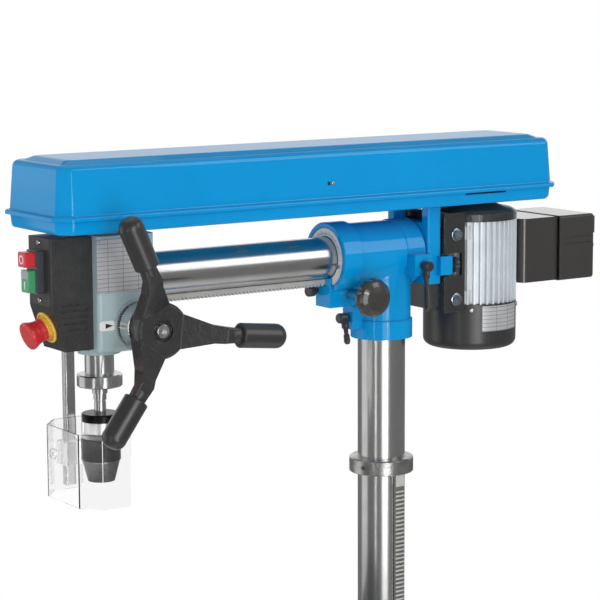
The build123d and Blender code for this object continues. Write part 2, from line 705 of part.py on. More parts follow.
# Lever that locks the carriage on the column
with BuildPart() as column_lock_lever:
    pivot_y = COLUMN_LOCK_Y - SLIDING
    stud = -pivot_y - COLUMN_R - SLIDING
    clamp_lever((0, pivot_y, level(COLUMN_LOCK_LEVEL)), -Y, (0.68, 0, -0.73), stud, COLUMN_LEVER)
keep(column_lock_lever, "column_lock_lever")

# Lever that locks the ram in the carriage
with BuildPart() as ram_lock_lever:
    reach = sqrt(RAM_R**2 - (RAM_LOCK_LEVEL + LEVER_STUD_R) ** 2) + SLIDING
    pivot_x = RAM_LOCK_X + SLIDING
    clamp_lever((pivot_x, RAM_LOCK_Y, level(RAM_LOCK_LEVEL)), X, (0, -0.22, -1), pivot_x - reach)
keep(ram_lock_lever, "ram_lock_lever")

# Ram pinion: small journal, teeth and large journal on one shaft
with BuildPart() as ram_pinion:
    with BuildSketch(Plane((0, RAM_PINION_Y, level(RAM_PINION_LEVEL)), x_dir=Y, z_dir=X)) as teeth:
        with BuildLine():
            Polyline(*pinion_outline(90), close=True)
        make_face()
    extrude(teeth.sketch, amount=RAM_FACE / 2, both=True)
    pinion_z = level(RAM_PINION_LEVEL)
    rod((-RAM_FACE / 2, RAM_PINION_Y, pinion_z), -X, JOURNAL_R - RUNNING, PINION_BLOCK_X - RAM_FACE / 2)
    rod((0, RAM_PINION_Y, pinion_z), X, SHAFT_R, RAM_KNOB_X - 12)
keep(ram_pinion, "ram_pinion")

# Ram knob: a seven-lobed hand knob with a domed face and a middle boss
KNOB_LOBES = 7
with BuildPart() as ram_knob:
    knob_at = (RAM_KNOB_X - RAM_KNOB_THICK, RAM_PINION_Y, level(RAM_PINION_LEVEL))
    turned(
        knob_at,
        X,
        [
            (0, 0),
            (0, 13),
            (6, 15),
            (8, RAM_KNOB_R - 4),
            (12, RAM_KNOB_R),
            (16, RAM_KNOB_R),
            (20, RAM_KNOB_R - 1.5),
            (24, RAM_KNOB_R - 5),
            (27, RAM_KNOB_R - 11),
            (RAM_KNOB_THICK - 1.5, 10),
            (RAM_KNOB_THICK - 1.5, 9),
            (RAM_KNOB_THICK, 8.5),
            (RAM_KNOB_THICK, 0),
        ],
    )
    with BuildSketch(Plane(knob_at, x_dir=Y, z_dir=X)) as scallops:
        with PolarLocations(RAM_KNOB_R + 7.5, KNOB_LOBES):
            Circle(10)
    extrude(scallops.sketch, amount=RAM_KNOB_THICK, mode=Mode.SUBTRACT)
    bore_deep = RAM_KNOB_THICK - 12
    rod(knob_at, X, SHAFT_R + SEAT, bore_deep, Mode.SUBTRACT)
keep(ram_knob, "ram_knob")

# Ram rack: a bar under the ram, held in the carriage's keyway
with BuildPart() as ram_rack:
    rack_start = HEAD_REAR_Y + SLIDING
    rack_end = BRACKET_FRONT - SLIDING
    outline = rack_outline(rack_start, rack_end, RAM_PINION_Y, level(RAM_PITCH_LEVEL), level(RAM_RACK_TOP))
    prism(Plane((0, 0, 0), x_dir=Y, z_dir=X), outline, RAM_RACK_WIDTH / 2, both=True)
keep(ram_rack, "ram_rack")

# Ram: a ground steel tube between the head and the rear bracket
with BuildPart() as ram_tube:
    ram_start = HEAD_REAR_Y - RAM_SOCKET
    tube((0, ram_start, RAM_AXIS_Z), Y, RAM_R, RAM_R - RAM_WALL, BRACKET_BACK - ram_start)
keep(ram_tube, "ram_tube")

# Head casting: quill bore, pulley bearing seats, feed bore, ram socket and guard lug
NECK_R = PULLEY_BEARING_R + 9
LUG_Z = (level(POST_TOP + SLIDING), level(POST_TOP + 42))
with BuildPart() as head_casting:
    block((-HEAD_X, HEAD_X), (HEAD_FRONT_Y, HEAD_REAR_Y), (level(HEAD_BOTTOM), level(HEAD_TOP)))
    fillet(head_casting.edges().filter_by(Axis.Z), radius=6)
    fillet(head_casting.edges().filter_by(Axis.Y).group_by(Axis.Z)[0], radius=8)
    rod((0, SPINDLE_Y, level(HEAD_BOTTOM - QUILL_BOSS)), Z, QUILL_BOSS_R, QUILL_BOSS + 2)
    rod((0, SPINDLE_Y, level(HEAD_TOP)), Z, NECK_R, TRAY_FLOOR - HEAD_TOP)
    rod((0, FEED_Y, level(FEED_LEVEL)), X, DEPTH_RING_R + 2.5, HEAD_X + 3)
    block((POST_X - 13, -HEAD_X + 4), (POST_Y - 13, POST_Y + 13), LUG_Z)
    quill_bore = QUILL_TOP + 4 - HEAD_BOTTOM + QUILL_BOSS
    rod((0, SPINDLE_Y, level(HEAD_BOTTOM - QUILL_BOSS)), Z, QUILL_R + RUNNING, quill_bore, Mode.SUBTRACT)
    sleeve_deep = TRAY_FLOOR - QUILL_TOP
    rod((0, SPINDLE_Y, level(QUILL_TOP)), Z, SLEEVE_BORE_R + 3, sleeve_deep, Mode.SUBTRACT)
    for seat in PULLEY_BEARING_LEVELS:
        rod((0, SPINDLE_Y, level(seat)), Z, PULLEY_BEARING_R + SEAT, PULLEY_BEARING, Mode.SUBTRACT)
    rod((0, HEAD_REAR_Y - RAM_SOCKET, RAM_AXIS_Z), Y, RAM_R + SEAT, RAM_SOCKET, Mode.SUBTRACT)
    rod((-FEED_FACE / 2 - 1, FEED_Y, level(FEED_LEVEL)), X, JOURNAL_R, 80, Mode.SUBTRACT)
    rod((-HEAD_X - 5, FEED_Y, level(FEED_LEVEL)), X, SHAFT_R + RUNNING, 60, Mode.SUBTRACT)
    rod((POST_X, POST_Y, LUG_Z[0]), Z, POST_PIN_R + RUNNING, 60, Mode.SUBTRACT)
keep(head_casting, "head_casting")

# Switch cover: a hollow moulded box on the head's front with a bevelled lower face
with BuildPart() as switch_cover:
    side_plane = Plane((0, SPINDLE_Y, RAM_AXIS_Z), x_dir=Y, z_dir=X)
    side = [
        (HEAD_FRONT, COVER_BOX_BOTTOM),
        (BEVEL_BACK, COVER_BOX_BOTTOM),
        (COVER_BOX_FRONT, BEVEL_TOP),
        (COVER_BOX_FRONT, COVER_BOX_TOP),
        (HEAD_FRONT, COVER_BOX_TOP),
    ]
    prism(side_plane, side, COVER_BOX_X, both=True)
    front_edges = switch_cover.edges().group_by(Axis.Y)[0]
    fillet(front_edges.filter_by(Axis.Z), radius=3)
    inside = [
        (HEAD_FRONT, COVER_BOX_BOTTOM + COVER_BOX_WALL),
        (BEVEL_BACK + COVER_BOX_WALL, COVER_BOX_BOTTOM + COVER_BOX_WALL),
        (COVER_BOX_FRONT + COVER_BOX_WALL, BEVEL_TOP),
        (COVER_BOX_FRONT + COVER_BOX_WALL, COVER_BOX_TOP - COVER_BOX_WALL),
        (HEAD_FRONT, COVER_BOX_TOP - COVER_BOX_WALL),
    ]
    prism(side_plane, inside, COVER_BOX_X - COVER_BOX_WALL, Mode.SUBTRACT, both=True)
    SWITCH_X = 14.0
    SWITCH_LOW = -12.0
    SWITCH_HIGH = 45.0
    front_y = SPINDLE_Y + COVER_BOX_FRONT
    window_y = (front_y - 1, front_y + COVER_BOX_WALL + 1)
    window_x = (-SWITCH_X + 2, SWITCH_X - 2)
    block(window_x, window_y, (level(SWITCH_LOW + 1), level(SWITCH_HIGH - 0.5)), Mode.SUBTRACT)
    bevel_run = Vector(0, BEVEL_BACK - COVER_BOX_FRONT, COVER_BOX_BOTTOM - BEVEL_TOP)
    ESTOP_AXIS = bevel_run.cross(X).normalized()
    bevel_mid = Vector(0, front_y, level(BEVEL_TOP)) + bevel_run * 0.5
    ESTOP_STEM_R = 11.0
    rod(bevel_mid - ESTOP_AXIS * 8, ESTOP_AXIS, ESTOP_STEM_R, 16, Mode.SUBTRACT)
    for groove in range(5):
        groove_z = level(-28 - 8.2 * groove)
        groove_y = (SPINDLE_Y - 76 + 2.7 * groove, HEAD_FRONT_Y - 8)
        for groove_x in ((-COVER_BOX_X - 1, -COVER_BOX_X + 1), (COVER_BOX_X - 1, COVER_BOX_X + 1)):
            block(groove_x, groove_y, (groove_z - 1.2, groove_z + 1.2), Mode.SUBTRACT)
keep(switch_cover, "switch_cover")

# Switch body: a snap-in frame with wells for the two buttons
BUTTON_X = 10.0
BUTTON_TRAVEL = 3.0
STOP_Z = (level(24), level(44))
START_Z = (level(-10), level(20))
SWITCH_FACE = 11.0
STOP_OUT = 15.0
START_OUT = 10.8
with BuildPart() as switch_body:
    body_y = (front_y - SWITCH_FACE, front_y)
    block((-SWITCH_X, SWITCH_X), body_y, (level(SWITCH_LOW), level(SWITCH_HIGH + 1)))
    fillet(switch_body.edges().filter_by(Axis.Y), radius=2.5)
    inner_z = (level(SWITCH_LOW + 3), level(SWITCH_HIGH - 3))
    block((-SWITCH_X + 3, SWITCH_X - 3), (front_y, front_y + 26), inner_z)
    well_y = (front_y - SWITCH_FACE - 1, front_y + 4)
    for button_z in (STOP_Z, START_Z):
        well_x = BUTTON_X + SLIDING
        block((-well_x, well_x), well_y, (button_z[0] - SLIDING, button_z[1] + SLIDING), Mode.SUBTRACT)
keep(switch_body, "switch_body")

# Push buttons, standing proud of the switch body
for label, button_z, proud in (("stop_button", STOP_Z, STOP_OUT), ("start_button", START_Z, START_OUT)):
    with BuildPart() as button:
        button_y = (front_y - SWITCH_FACE - proud, front_y + 4 - BUTTON_TRAVEL - SLIDING)
        block((-BUTTON_X, BUTTON_X), button_y, button_z)
        fillet(button.edges().filter_by(Axis.Y), radius=2)
        fillet(button.faces().sort_by(Axis.Y)[0].edges(), radius=1)
    keep(button, label)

# Emergency stop: a collar on the bevel and a mushroom button on a stem
ESTOP_COLLAR_R = 22.0
ESTOP_NECK_R = 15.6
ESTOP_SLEEVE_R = 13.0
ESTOP_TRAVEL = 3.0
ESTOP_HEAD_R = 19.4
with BuildPart() as estop_collar:
    neck_end = 4
    sleeve_end = 11
    turned(
        bevel_mid,
        ESTOP_AXIS,
        [
            (0, ESTOP_STEM_R - 3),
            (0, ESTOP_COLLAR_R),
            (2, ESTOP_COLLAR_R),
            (3, ESTOP_COLLAR_R - 1),
            (3, ESTOP_COLLAR_R - 3.2),
            (1, ESTOP_COLLAR_R - 3.6),
            (1, ESTOP_NECK_R),
            (neck_end, ESTOP_NECK_R),
            (neck_end, ESTOP_SLEEVE_R),
            (sleeve_end, ESTOP_SLEEVE_R),
            (sleeve_end, ESTOP_STEM_R - 3),
        ],
    )
    tube(bevel_mid - ESTOP_AXIS * 14, ESTOP_AXIS, ESTOP_STEM_R - SLIDING, ESTOP_STEM_R - 3, 14)
keep(estop_collar, "estop_collar")
with BuildPart() as estop_button:
    stem = ESTOP_STEM_R - 3 - SLIDING
    skirt = neck_end + ESTOP_TRAVEL + SLIDING
    roof = sleeve_end + ESTOP_TRAVEL + 2 * SLIDING
    turned(
        bevel_mid,
        ESTOP_AXIS,
        [
            (-10, 0),
            (-10, stem),
            (roof, stem),
            (roof, ESTOP_SLEEVE_R + SLIDING),
            (skirt, ESTOP_SLEEVE_R + SLIDING),
            (skirt, ESTOP_HEAD_R - 4.4),
            (skirt + 1.5, ESTOP_HEAD_R - 3.8),
            (skirt + 8, ESTOP_HEAD_R - 4.2),
            (skirt + 15, ESTOP_HEAD_R - 2.6),
            (skirt + 20, ESTOP_HEAD_R - 0.5),
            (skirt + 22.5, ESTOP_HEAD_R),
            (skirt + 24.5, ESTOP_HEAD_R - 0.8),
            (skirt + 25.4, ESTOP_HEAD_R - 3),
            (skirt + 25, 0),
        ],
    )
keep(estop_button, "estop_button")

# Spring cap on the head's far side, and the flat coil that lifts the quill again
with BuildPart() as spring_cap:
    cap_at = (-HEAD_X, FEED_Y, level(FEED_LEVEL))
    turned(
        cap_at,
        -X,
        [
            (0, SPRING_CAP_R - SPRING_CAP_WALL),
            (0, SPRING_CAP_R),
            (SPRING_CAP - 3, SPRING_CAP_R),
            (SPRING_CAP, SPRING_CAP_R - 3),
            (SPRING_CAP, SHAFT_R + SLIDING),
            (SPRING_CAP - SPRING_CAP_WALL, SHAFT_R + SLIDING),
            (SPRING_CAP - SPRING_CAP_WALL, SPRING_CAP_R - SPRING_CAP_WALL),
        ],
    )
    with BuildSketch(Plane(cap_at, x_dir=Y, z_dir=-X)) as notches:
        with PolarLocations(SPRING_CAP_R, 6):
            Rectangle(5, 7)
    extrude(notches.sketch, amount=5, mode=Mode.SUBTRACT)
keep(spring_cap, "spring_cap")

SPRING_TURNS = 5
SPRING_STRIP = 1.0
SPRING_WIDTH = 9.0
SPRING_START_R = SHAFT_R + SLIDING + SPRING_STRIP / 2
SPRING_END_R = SPRING_CAP_R - SPRING_CAP_WALL - SEAT - SPRING_STRIP / 2
SPRING_PITCH = (SPRING_END_R - SPRING_START_R) / SPRING_TURNS
with BuildPart() as return_spring:
    with BuildSketch(Plane((-HEAD_X - 2, FEED_Y, level(FEED_LEVEL)), x_dir=Y, z_dir=-X)) as coil:
        with BuildLine() as strip:
            for half_turn in range(2 * SPRING_TURNS):
                radius = SPRING_START_R + half_turn * SPRING_PITCH / 2
                shift = 0 if half_turn % 2 == 0 else SPRING_PITCH / 2
                side = 1 if half_turn % 2 == 0 else -1
                start = (side * radius + shift, 0)
                end = (-side * radius + shift, 0)
                RadiusArc(start, end, -radius)
        trace(line_width=SPRING_STRIP)
    extrude(coil.sketch, amount=SPRING_WIDTH)
keep(return_spring, "return_spring")
print(f"return_spring: gap between turns {SPRING_PITCH - SPRING_STRIP:.2f} mm")

# Feed pinion: its small journal runs to the spring, its large one to the hub
HUB_BACK_X = HEAD_X + 3 + DEPTH_RING + 2 * SLIDING
with BuildPart() as feed_pinion:
    feed_at = (0, FEED_Y, level(FEED_LEVEL))
    with BuildSketch(Plane(feed_at, x_dir=Y, z_dir=X)) as teeth:
        with BuildLine():
            Polyline(*pinion_outline(180), close=True)
        make_face()
    extrude(teeth.sketch, amount=FEED_FACE / 2, both=True)
    feed_z = level(FEED_LEVEL)
    rod((-HEAD_X - SPRING_CAP - 3, FEED_Y, feed_z), X, SHAFT_R, HEAD_X + SPRING_CAP + 3)
    rod((FEED_FACE / 2, FEED_Y, feed_z), X, JOURNAL_R - RUNNING, HUB_BACK_X - FEED_FACE / 2)
    rod(feed_at, X, SHAFT_R + 2, HUB_FACE_X - 6)
keep(feed_pinion, "feed_pinion")

# Depth ring: a graduated ring that turns on the feed shaft and is set by hand
with BuildPart() as depth_ring:
    ring_x = HEAD_X + 3 + SLIDING
    turned(
        (ring_x, FEED_Y, level(FEED_LEVEL)),
        X,
        [
            (0, JOURNAL_R),
            (0, DEPTH_RING_R - 1),
            (1, DEPTH_RING_R),
            (DEPTH_RING - 1, DEPTH_RING_R),
            (DEPTH_RING, DEPTH_RING_R - 1),
            (DEPTH_RING, JOURNAL_R),
        ],
    )
keep(depth_ring, "depth_ring")

# One arm of the feed hub: dished outwards and tapered towards the grip
ARM_THICK = 15.0
with BuildPart() as feed_arm:
    arm_plane = Plane((0, FEED_Y, level(FEED_LEVEL)), x_dir=Y, z_dir=-Z)
    arm_side = [
        (0, -HUB_FACE_X + 28),
        (30, -HUB_FACE_X + 24),
        (84, -GRIP_AXIS_X + ARM_THICK / 2),
        (GRIP_START - 1, -GRIP_AXIS_X + ARM_THICK / 2),
        (GRIP_START - 1, -GRIP_AXIS_X - ARM_THICK / 2),
        (78, -GRIP_AXIS_X - ARM_THICK / 2),
        (28, -HUB_FACE_X),
        (0, -HUB_FACE_X),
    ]
    prism(arm_plane, [(r, -x) for r, x in arm_side], 30, both=True)
    arm_edge = [(0, 28), (30, 23), (64, 12), (GRIP_START + 4, 9)]
    arm_face = arm_edge + [(r, -half) for r, half in reversed(arm_edge)]
    prism(Plane((0, FEED_Y, level(FEED_LEVEL)), x_dir=Y, z_dir=X), arm_face, 200, Mode.INTERSECT)
    front_face = feed_arm.faces().filter_by(Axis.X).sort_by(Axis.X)[-1]
    fillet(front_face.edges().filter_by(lambda edge: edge.length > 12), radius=2)
FEED_AXIS = Axis((0, FEED_Y, level(FEED_LEVEL)), (1, 0, 0))

# Feed hub: a turned boss with the three arms, a recessed face and the shaft bore
with BuildPart() as feed_hub:
    turned(
        (HUB_BACK_X, FEED_Y, level(FEED_LEVEL)),
        X,
        [
            (0, 0),
            (0, DEPTH_RING_R - 3),
            (10, DEPTH_RING_R - 3),
            (22, HUB_R - 4),
            (HUB_FACE_X - HUB_BACK_X - 3, HUB_R - 2),
            (HUB_FACE_X - HUB_BACK_X, HUB_R - 6),
            (HUB_FACE_X - HUB_BACK_X, 0),
        ],
    )
    for arm_angle in ARM_ANGLES:
        add(feed_arm.part.rotate(FEED_AXIS, arm_angle))
    for arm_angle in ARM_ANGLES:
        reach = Y.rotate(Axis.X, arm_angle)
        foot = Vector(GRIP_AXIS_X, FEED_Y, level(FEED_LEVEL)) + reach * (GRIP_START - 12)
        turned(foot, reach, [(0, 0), (0, 10), (12, 10.5), (12, 5), (44, 5), (44, 0)])
    rod((HUB_FACE_X - 5, FEED_Y, level(FEED_LEVEL)), X, 15, 20, Mode.SUBTRACT)
    rod((HUB_BACK_X, FEED_Y, level(FEED_LEVEL)), X, SHAFT_R + 2 + SEAT, 80, Mode.SUBTRACT)
keep(feed_hub, "feed_hub")

# Three grips on the arm ends, plain cylinders with a well rounded end
with BuildPart() as feed_grips:
    for arm_angle in ARM_ANGLES:
        reach = Y.rotate(Axis.X, arm_angle)
        foot = Vector(GRIP_AXIS_X, FEED_Y, level(FEED_LEVEL)) + reach * GRIP_START
        span = GRIP_END - GRIP_START
        with BuildSketch(Plane(foot, x_dir=reach, z_dir=across(reach))) as grip:
            with BuildLine():
                Line((0, 5 + SEAT), (0, GRIP_R - 1.5))
                Line((0, GRIP_R - 1.5), (1.5, GRIP_R))
                Line((1.5, GRIP_R), (span - GRIP_ROUND, GRIP_R))
                RadiusArc((span - GRIP_ROUND, GRIP_R), (span, GRIP_R - GRIP_ROUND), GRIP_ROUND)
                Line((span, GRIP_R - GRIP_ROUND), (span, 0))
                Line((span, 0), (34, 0))
                Line((34, 0), (34, 5 + SEAT))
                Line((34, 5 + SEAT), (0, 5 + SEAT))
            make_face()
        revolve(grip.sketch, axis=Axis(foot, reach))
keep(feed_grips, "feed_grips")

# Quill: a tube with rack teeth at the back, a large nose ring and two bearing seats
QUILL_BORE_R = BEARING_R - 4
NOSE_BOTTOM = QUILL_BOTTOM - NOSE
LOWER_BEARING = NOSE_BOTTOM + 2
UPPER_BEARING = QUILL_TOP - BEARING_WIDTH - 1
with BuildPart() as quill:
    turned(
        (0, SPINDLE_Y, RAM_AXIS_Z),
        Z,
        [
            (NOSE_BOTTOM, QUILL_BORE_R),
            (NOSE_BOTTOM, NOSE_R - 1.5),
            (NOSE_BOTTOM + 1.5, NOSE_R),
            (QUILL_BOTTOM - 1.5, NOSE_R),
            (QUILL_BOTTOM, NOSE_R - 1.5),
            (QUILL_BOTTOM, QUILL_R),
            (QUILL_TOP, QUILL_R),
            (QUILL_TOP, QUILL_BORE_R),
        ],
    )
    seat_r = BEARING_R + SEAT
    seat_deep = LOWER_BEARING + BEARING_WIDTH - NOSE_BOTTOM
    rod((0, SPINDLE_Y, level(NOSE_BOTTOM)), Z, seat_r, seat_deep, Mode.SUBTRACT)
    rod((0, SPINDLE_Y, level(UPPER_BEARING)), Z, seat_r, QUILL_TOP - UPPER_BEARING, Mode.SUBTRACT)
    half_root = TOOTH_HALF + DEDENDUM * tan(radians(PRESSURE))
    half_tip = TOOTH_HALF - ADDENDUM * tan(radians(PRESSURE))
    tooth_root = QUILL_PITCH_Y - DEDENDUM
    gap_floor = PITCH / 2 - half_root
    gap_mouth = PITCH / 2 - half_tip + (QUILL_R - QUILL_PITCH_Y - ADDENDUM) * tan(radians(PRESSURE))
    gap_plane = Plane((0, SPINDLE_Y, level(FEED_LEVEL)), x_dir=Y, z_dir=X)
    gaps_up = floor((QUILL_TOP - FEED_LEVEL) / PITCH)
    for gap in range(-1, gaps_up + 1):
        middle = gap * PITCH
        outline = [
            (tooth_root, middle - gap_floor),
            (QUILL_R + 1, middle - gap_mouth - tan(radians(PRESSURE))),
            (QUILL_R + 1, middle + gap_mouth + tan(radians(PRESSURE))),
            (tooth_root, middle + gap_floor),
        ]
        prism(gap_plane, outline, FEED_FACE / 2 + SLIDING, Mode.SUBTRACT, both=True)
keep(quill, "quill")

# Two ball bearings in the quill
with BuildPart() as quill_bearings:
    for seat in (LOWER_BEARING, UPPER_BEARING):
        tube((0, SPINDLE_Y, level(seat)), Z, BEARING_R, SPINDLE_R + SEAT, BEARING_WIDTH)
keep(quill_bearings, "quill_bearings")

# Spindle: a spline at the top, bearing journals and the chuck arbor
with BuildPart() as spindle:
    turned(
        (0, SPINDLE_Y, RAM_AXIS_Z),
        Z,
        [
            (CHUCK_TOP - ARBOR, 0),
            (CHUCK_TOP - ARBOR, ARBOR_R - 0.6),
            (CHUCK_TOP, ARBOR_R),
            (CHUCK_TOP + 16, ARBOR_R),
            (CHUCK_TOP + 16, ARBOR_R - 1),
            (CHUCK_TOP + 18, ARBOR_R - 1),
            (CHUCK_TOP + 18, 8.8),
            (CHUCK_TOP + 27, 8.8),
            (CHUCK_TOP + 27, 10.5),
            (LOWER_BEARING, 10.5),
            (LOWER_BEARING, SPINDLE_R),
            (UPPER_BEARING + BEARING_WIDTH, SPINDLE_R),
            (UPPER_BEARING + BEARING_WIDTH, SPLINE_R),
            (SPINDLE_TOP, SPLINE_R),
            (SPINDLE_TOP, 0),
        ],
    )
keep(spindle, "spindle")


def jaw_line(number):
    """The foot and the upward direction of one chuck jaw."""
    turn = 120 * number
    foot = Vector(0, JAW_TIP_R, 0).rotate(Axis.Z, turn) + Vector(0, SPINDLE_Y, level(CHUCK_BOTTOM + 3))
    lean = Vector(0, sin(radians(JAW_TILT)), cos(radians(JAW_TILT))).rotate(Axis.Z, turn)
    return foot, lean


# Chuck body: the top ring and the core that guides the jaws
CORE_BOTTOM = CHUCK_BOTTOM + 6
NECK_CORE_R = CHUCK_NECK_R - 3
with BuildPart() as chuck_body:
    turned(
        (0, SPINDLE_Y, RAM_AXIS_Z),
        Z,
        [
            (CORE_BOTTOM, 0),
            (CORE_BOTTOM, CHUCK_NOSE_R - 4),
            (CHUCK_GRIP_BOTTOM, CHUCK_CORE_R),
            (CHUCK_GRIP_TOP, CHUCK_CORE_R),
            (CHUCK_GRIP_TOP, NECK_CORE_R),
            (CHUCK_TOP - CHUCK_RING, NECK_CORE_R),
            (CHUCK_TOP - CHUCK_RING, CHUCK_RING_R),
            (CHUCK_TOP - 1, CHUCK_RING_R),
            (CHUCK_TOP, CHUCK_RING_R - 1),
            (CHUCK_TOP, 0),
        ],
    )
    turned(
        (0, SPINDLE_Y, level(CHUCK_TOP)),
        -Z,
        [(0, 0), (0, ARBOR_R + SEAT), (ARBOR, ARBOR_R - 0.6 + SEAT), (ARBOR, 0)],
        Mode.SUBTRACT,
    )
    for number in range(3):
        foot, lean = jaw_line(number)
        rod(foot - lean * 30, lean, JAW_R + SLIDING, JAW_LENGTH + JAW_TRAVEL + 31, Mode.SUBTRACT)
    rod((0, SPINDLE_Y, level(CORE_BOTTOM) - 1), Z, CHUCK_MOUTH_R, 30, Mode.SUBTRACT)
keep(chuck_body, "chuck_body")

# Chuck sleeve: turned by hand to move the jaws
with BuildPart() as chuck_sleeve:
    ring_foot = CHUCK_TOP - CHUCK_RING - SLIDING
    turned(
        (0, SPINDLE_Y, RAM_AXIS_Z),
        Z,
        [
            (CHUCK_BOTTOM, CHUCK_NOSE_R - 2),
            (CHUCK_BOTTOM, CHUCK_NOSE_R),
            (CHUCK_GRIP_BOTTOM - 2, CHUCK_GRIP_R - 1.5),
            (CHUCK_GRIP_BOTTOM, CHUCK_GRIP_R - 1.5),
            (CHUCK_GRIP_BOTTOM, CHUCK_GRIP_R),
            (CHUCK_GRIP_TOP, CHUCK_GRIP_R),
            (CHUCK_GRIP_TOP + 9, CHUCK_NECK_R),
            (ring_foot, CHUCK_NECK_R),
            (ring_foot, NECK_CORE_R + RUNNING),
            (CHUCK_GRIP_TOP + SLIDING, NECK_CORE_R + RUNNING),
            (CHUCK_GRIP_TOP + SLIDING, CHUCK_CORE_R + SLIDING),
            (CHUCK_GRIP_BOTTOM, CHUCK_CORE_R + SLIDING),
            (CORE_BOTTOM - 1, CHUCK_NOSE_R - 3),
        ],
    )
keep(chuck_sleeve, "chuck_sleeve")

# Three jaws, each a leaning bar cut to a 120 degree edge
for number in range(3):
    foot, lean = jaw_line(number)
    with BuildPart() as chuck_jaw:
        rod(foot, lean, JAW_R, JAW_LENGTH)
        outwards = Y.rotate(Axis.Z, 120 * number)
        wedge_plane = Plane((0, SPINDLE_Y, level(CHUCK_BOTTOM)), x_dir=outwards, z_dir=Z)
        far = 40.0
        wedge = [(JAW_EDGE, 0), (JAW_EDGE + far * 0.5, far * 0.866), (JAW_EDGE + far * 0.5, -far * 0.866)]
        prism(wedge_plane, wedge, 60, Mode.INTERSECT)
    keep(chuck_jaw, f"chuck_jaw_{number + 1}")

# Guard post: a bar that hangs from a pin in the head's lug
with BuildPart() as guard_post:
    post_x = (POST_X - POST_THICK / 2, POST_X + POST_THICK / 2)
    post_y = (POST_Y - POST_WIDE / 2, POST_Y + POST_WIDE / 2)
    block(post_x, post_y, (level(POST_BOTTOM), level(POST_TOP)))
    fillet(guard_post.edges().filter_by(Axis.Z), radius=3)
    rod((POST_X, POST_Y, level(POST_TOP)), Z, POST_PIN_R, 42 + SLIDING)
    rod((POST_X, POST_Y, LUG_Z[1] + SLIDING), Z, POST_PIN_R + 4, 6)
keep(guard_post, "guard_post")

# Guard clamp: a block round the post with its thumb screw
CLAMP_LEVEL = -252.0
with BuildPart() as guard_clamp:
    clamp_z = (level(CLAMP_LEVEL - 16), level(CLAMP_LEVEL + 16))
    block((post_x[0] - 5, -GUARD_SIDE_X - SEAT), (post_y[0] - 6, post_y[1] + 6), clamp_z)
    fillet(guard_clamp.edges().filter_by(Axis.Z), radius=2)
    hole_x = (post_x[0] - SLIDING, post_x[1] + SLIDING)
    block(hole_x, (post_y[0] - SLIDING, post_y[1] + SLIDING), (clamp_z[0] - 1, clamp_z[1] + 1), Mode.SUBTRACT)
    outline = [(0, 0), (0, 3), (8, 3), (8, 7), (10, 8), (14, 8), (16, 7), (16, 0)]
    turned((POST_X, post_y[0] - 5.5, level(CLAMP_LEVEL)), -Y, outline)
keep(guard_clamp, "guard_clamp")

# Chuck guard: a clear folded sheet, open at the back
with BuildPart() as chuck_guard:
    guard_plane = Plane((0, SPINDLE_Y, level(GUARD_BOTTOM)))
    with BuildSketch(guard_plane) as guard_plan:
        with BuildLine():
            Polyline(
                (-GUARD_SIDE_X, GUARD_BACK),
                (-GUARD_SIDE_X, GUARD_SHOULDER),
                (-GUARD_FRONT_X, GUARD_FRONT),
                (GUARD_FRONT_X, GUARD_FRONT),
                (GUARD_SIDE_X, GUARD_SHOULDER),
                (GUARD_SIDE_X, GUARD_BACK),
                close=True,
            )
        make_face()
        offset(amount=-GUARD_SHEET, kind=Kind.INTERSECTION, mode=Mode.SUBTRACT)
        with Locations((0, GUARD_BACK)):
            Rectangle(2 * (GUARD_SIDE_X - GUARD_SHEET), 4 * GUARD_SHEET, mode=Mode.SUBTRACT)
    extrude(amount=GUARD_TOP - GUARD_BOTTOM)
keep(chuck_guard, "chuck_guard")

# Cover tray: the lower half of the belt cover, with holes for the two shafts and hinge leaves
TRAY_X = COVER_X - TRAY_INSET
TRAY_HEIGHT = RIM_LEVEL - TRAY_FLOOR - 0.2
tray_inset = TRAY_HEIGHT * tan(radians(TRAY_DRAFT))
with BuildPart() as cover_tray:
    floor_plane = Plane.XY.offset(level(TRAY_FLOOR))
    low_x = TRAY_X - tray_inset
    front, back = COVER_FRONT + TRAY_INSET + tray_inset, COVER_BACK - TRAY_INSET - tray_inset
    tray_floor = cover_outline(floor_plane, low_x, front, back, CORNER_CUT - 4)
    extrude(tray_floor, amount=TRAY_HEIGHT, taper=-TRAY_DRAFT)
    fillet(cover_tray.edges().group_by(Axis.Z)[0], radius=6)
    inner_plane = Plane.XY.offset(level(TRAY_FLOOR) + SHEET)
    inner = cover_outline(inner_plane, low_x - SHEET, front + SHEET, back - SHEET, CORNER_CUT - 5)
    extrude(inner, amount=TRAY_HEIGHT, taper=-TRAY_DRAFT, mode=Mode.SUBTRACT)
    rod((0, SPINDLE_Y, level(TRAY_FLOOR) - 1), Z, PULLEY_BEARING_R + 1, 20, Mode.SUBTRACT)
    with BuildSketch(floor_plane):
        with Locations((0, MOTOR_Y - TENSION_TRAVEL / 2)):
            SlotOverall(2 * (MOTOR_SHAFT_R + 6) + TENSION_TRAVEL, 2 * (MOTOR_SHAFT_R + 6), rotation=90)
    extrude(amount=SHEET, mode=Mode.SUBTRACT)
    block((TRAY_X - 8, TRAY_X + 1), VENT_SPAN, (level(RIM_LEVEL - VENT), level(RIM_LEVEL)), Mode.SUBTRACT)
    for hinge_y in HINGE_SPOTS:
        leaf_y = (hinge_y - HINGE_LEAF / 2, hinge_y + HINGE_LEAF / 2)
        rod((HINGE_X, leaf_y[0], level(RIM_LEVEL)), Y, HINGE_R, HINGE_LEAF)
        block((HINGE_X, -TRAY_X + 1.5), leaf_y, (level(RIM_LEVEL - HINGE_R), level(RIM_LEVEL - SLIDING)))
        rod((HINGE_X, leaf_y[0] - 1, level(RIM_LEVEL)), Y, HINGE_PIN_R + SEAT, HINGE_LEAF + 2, Mode.SUBTRACT)
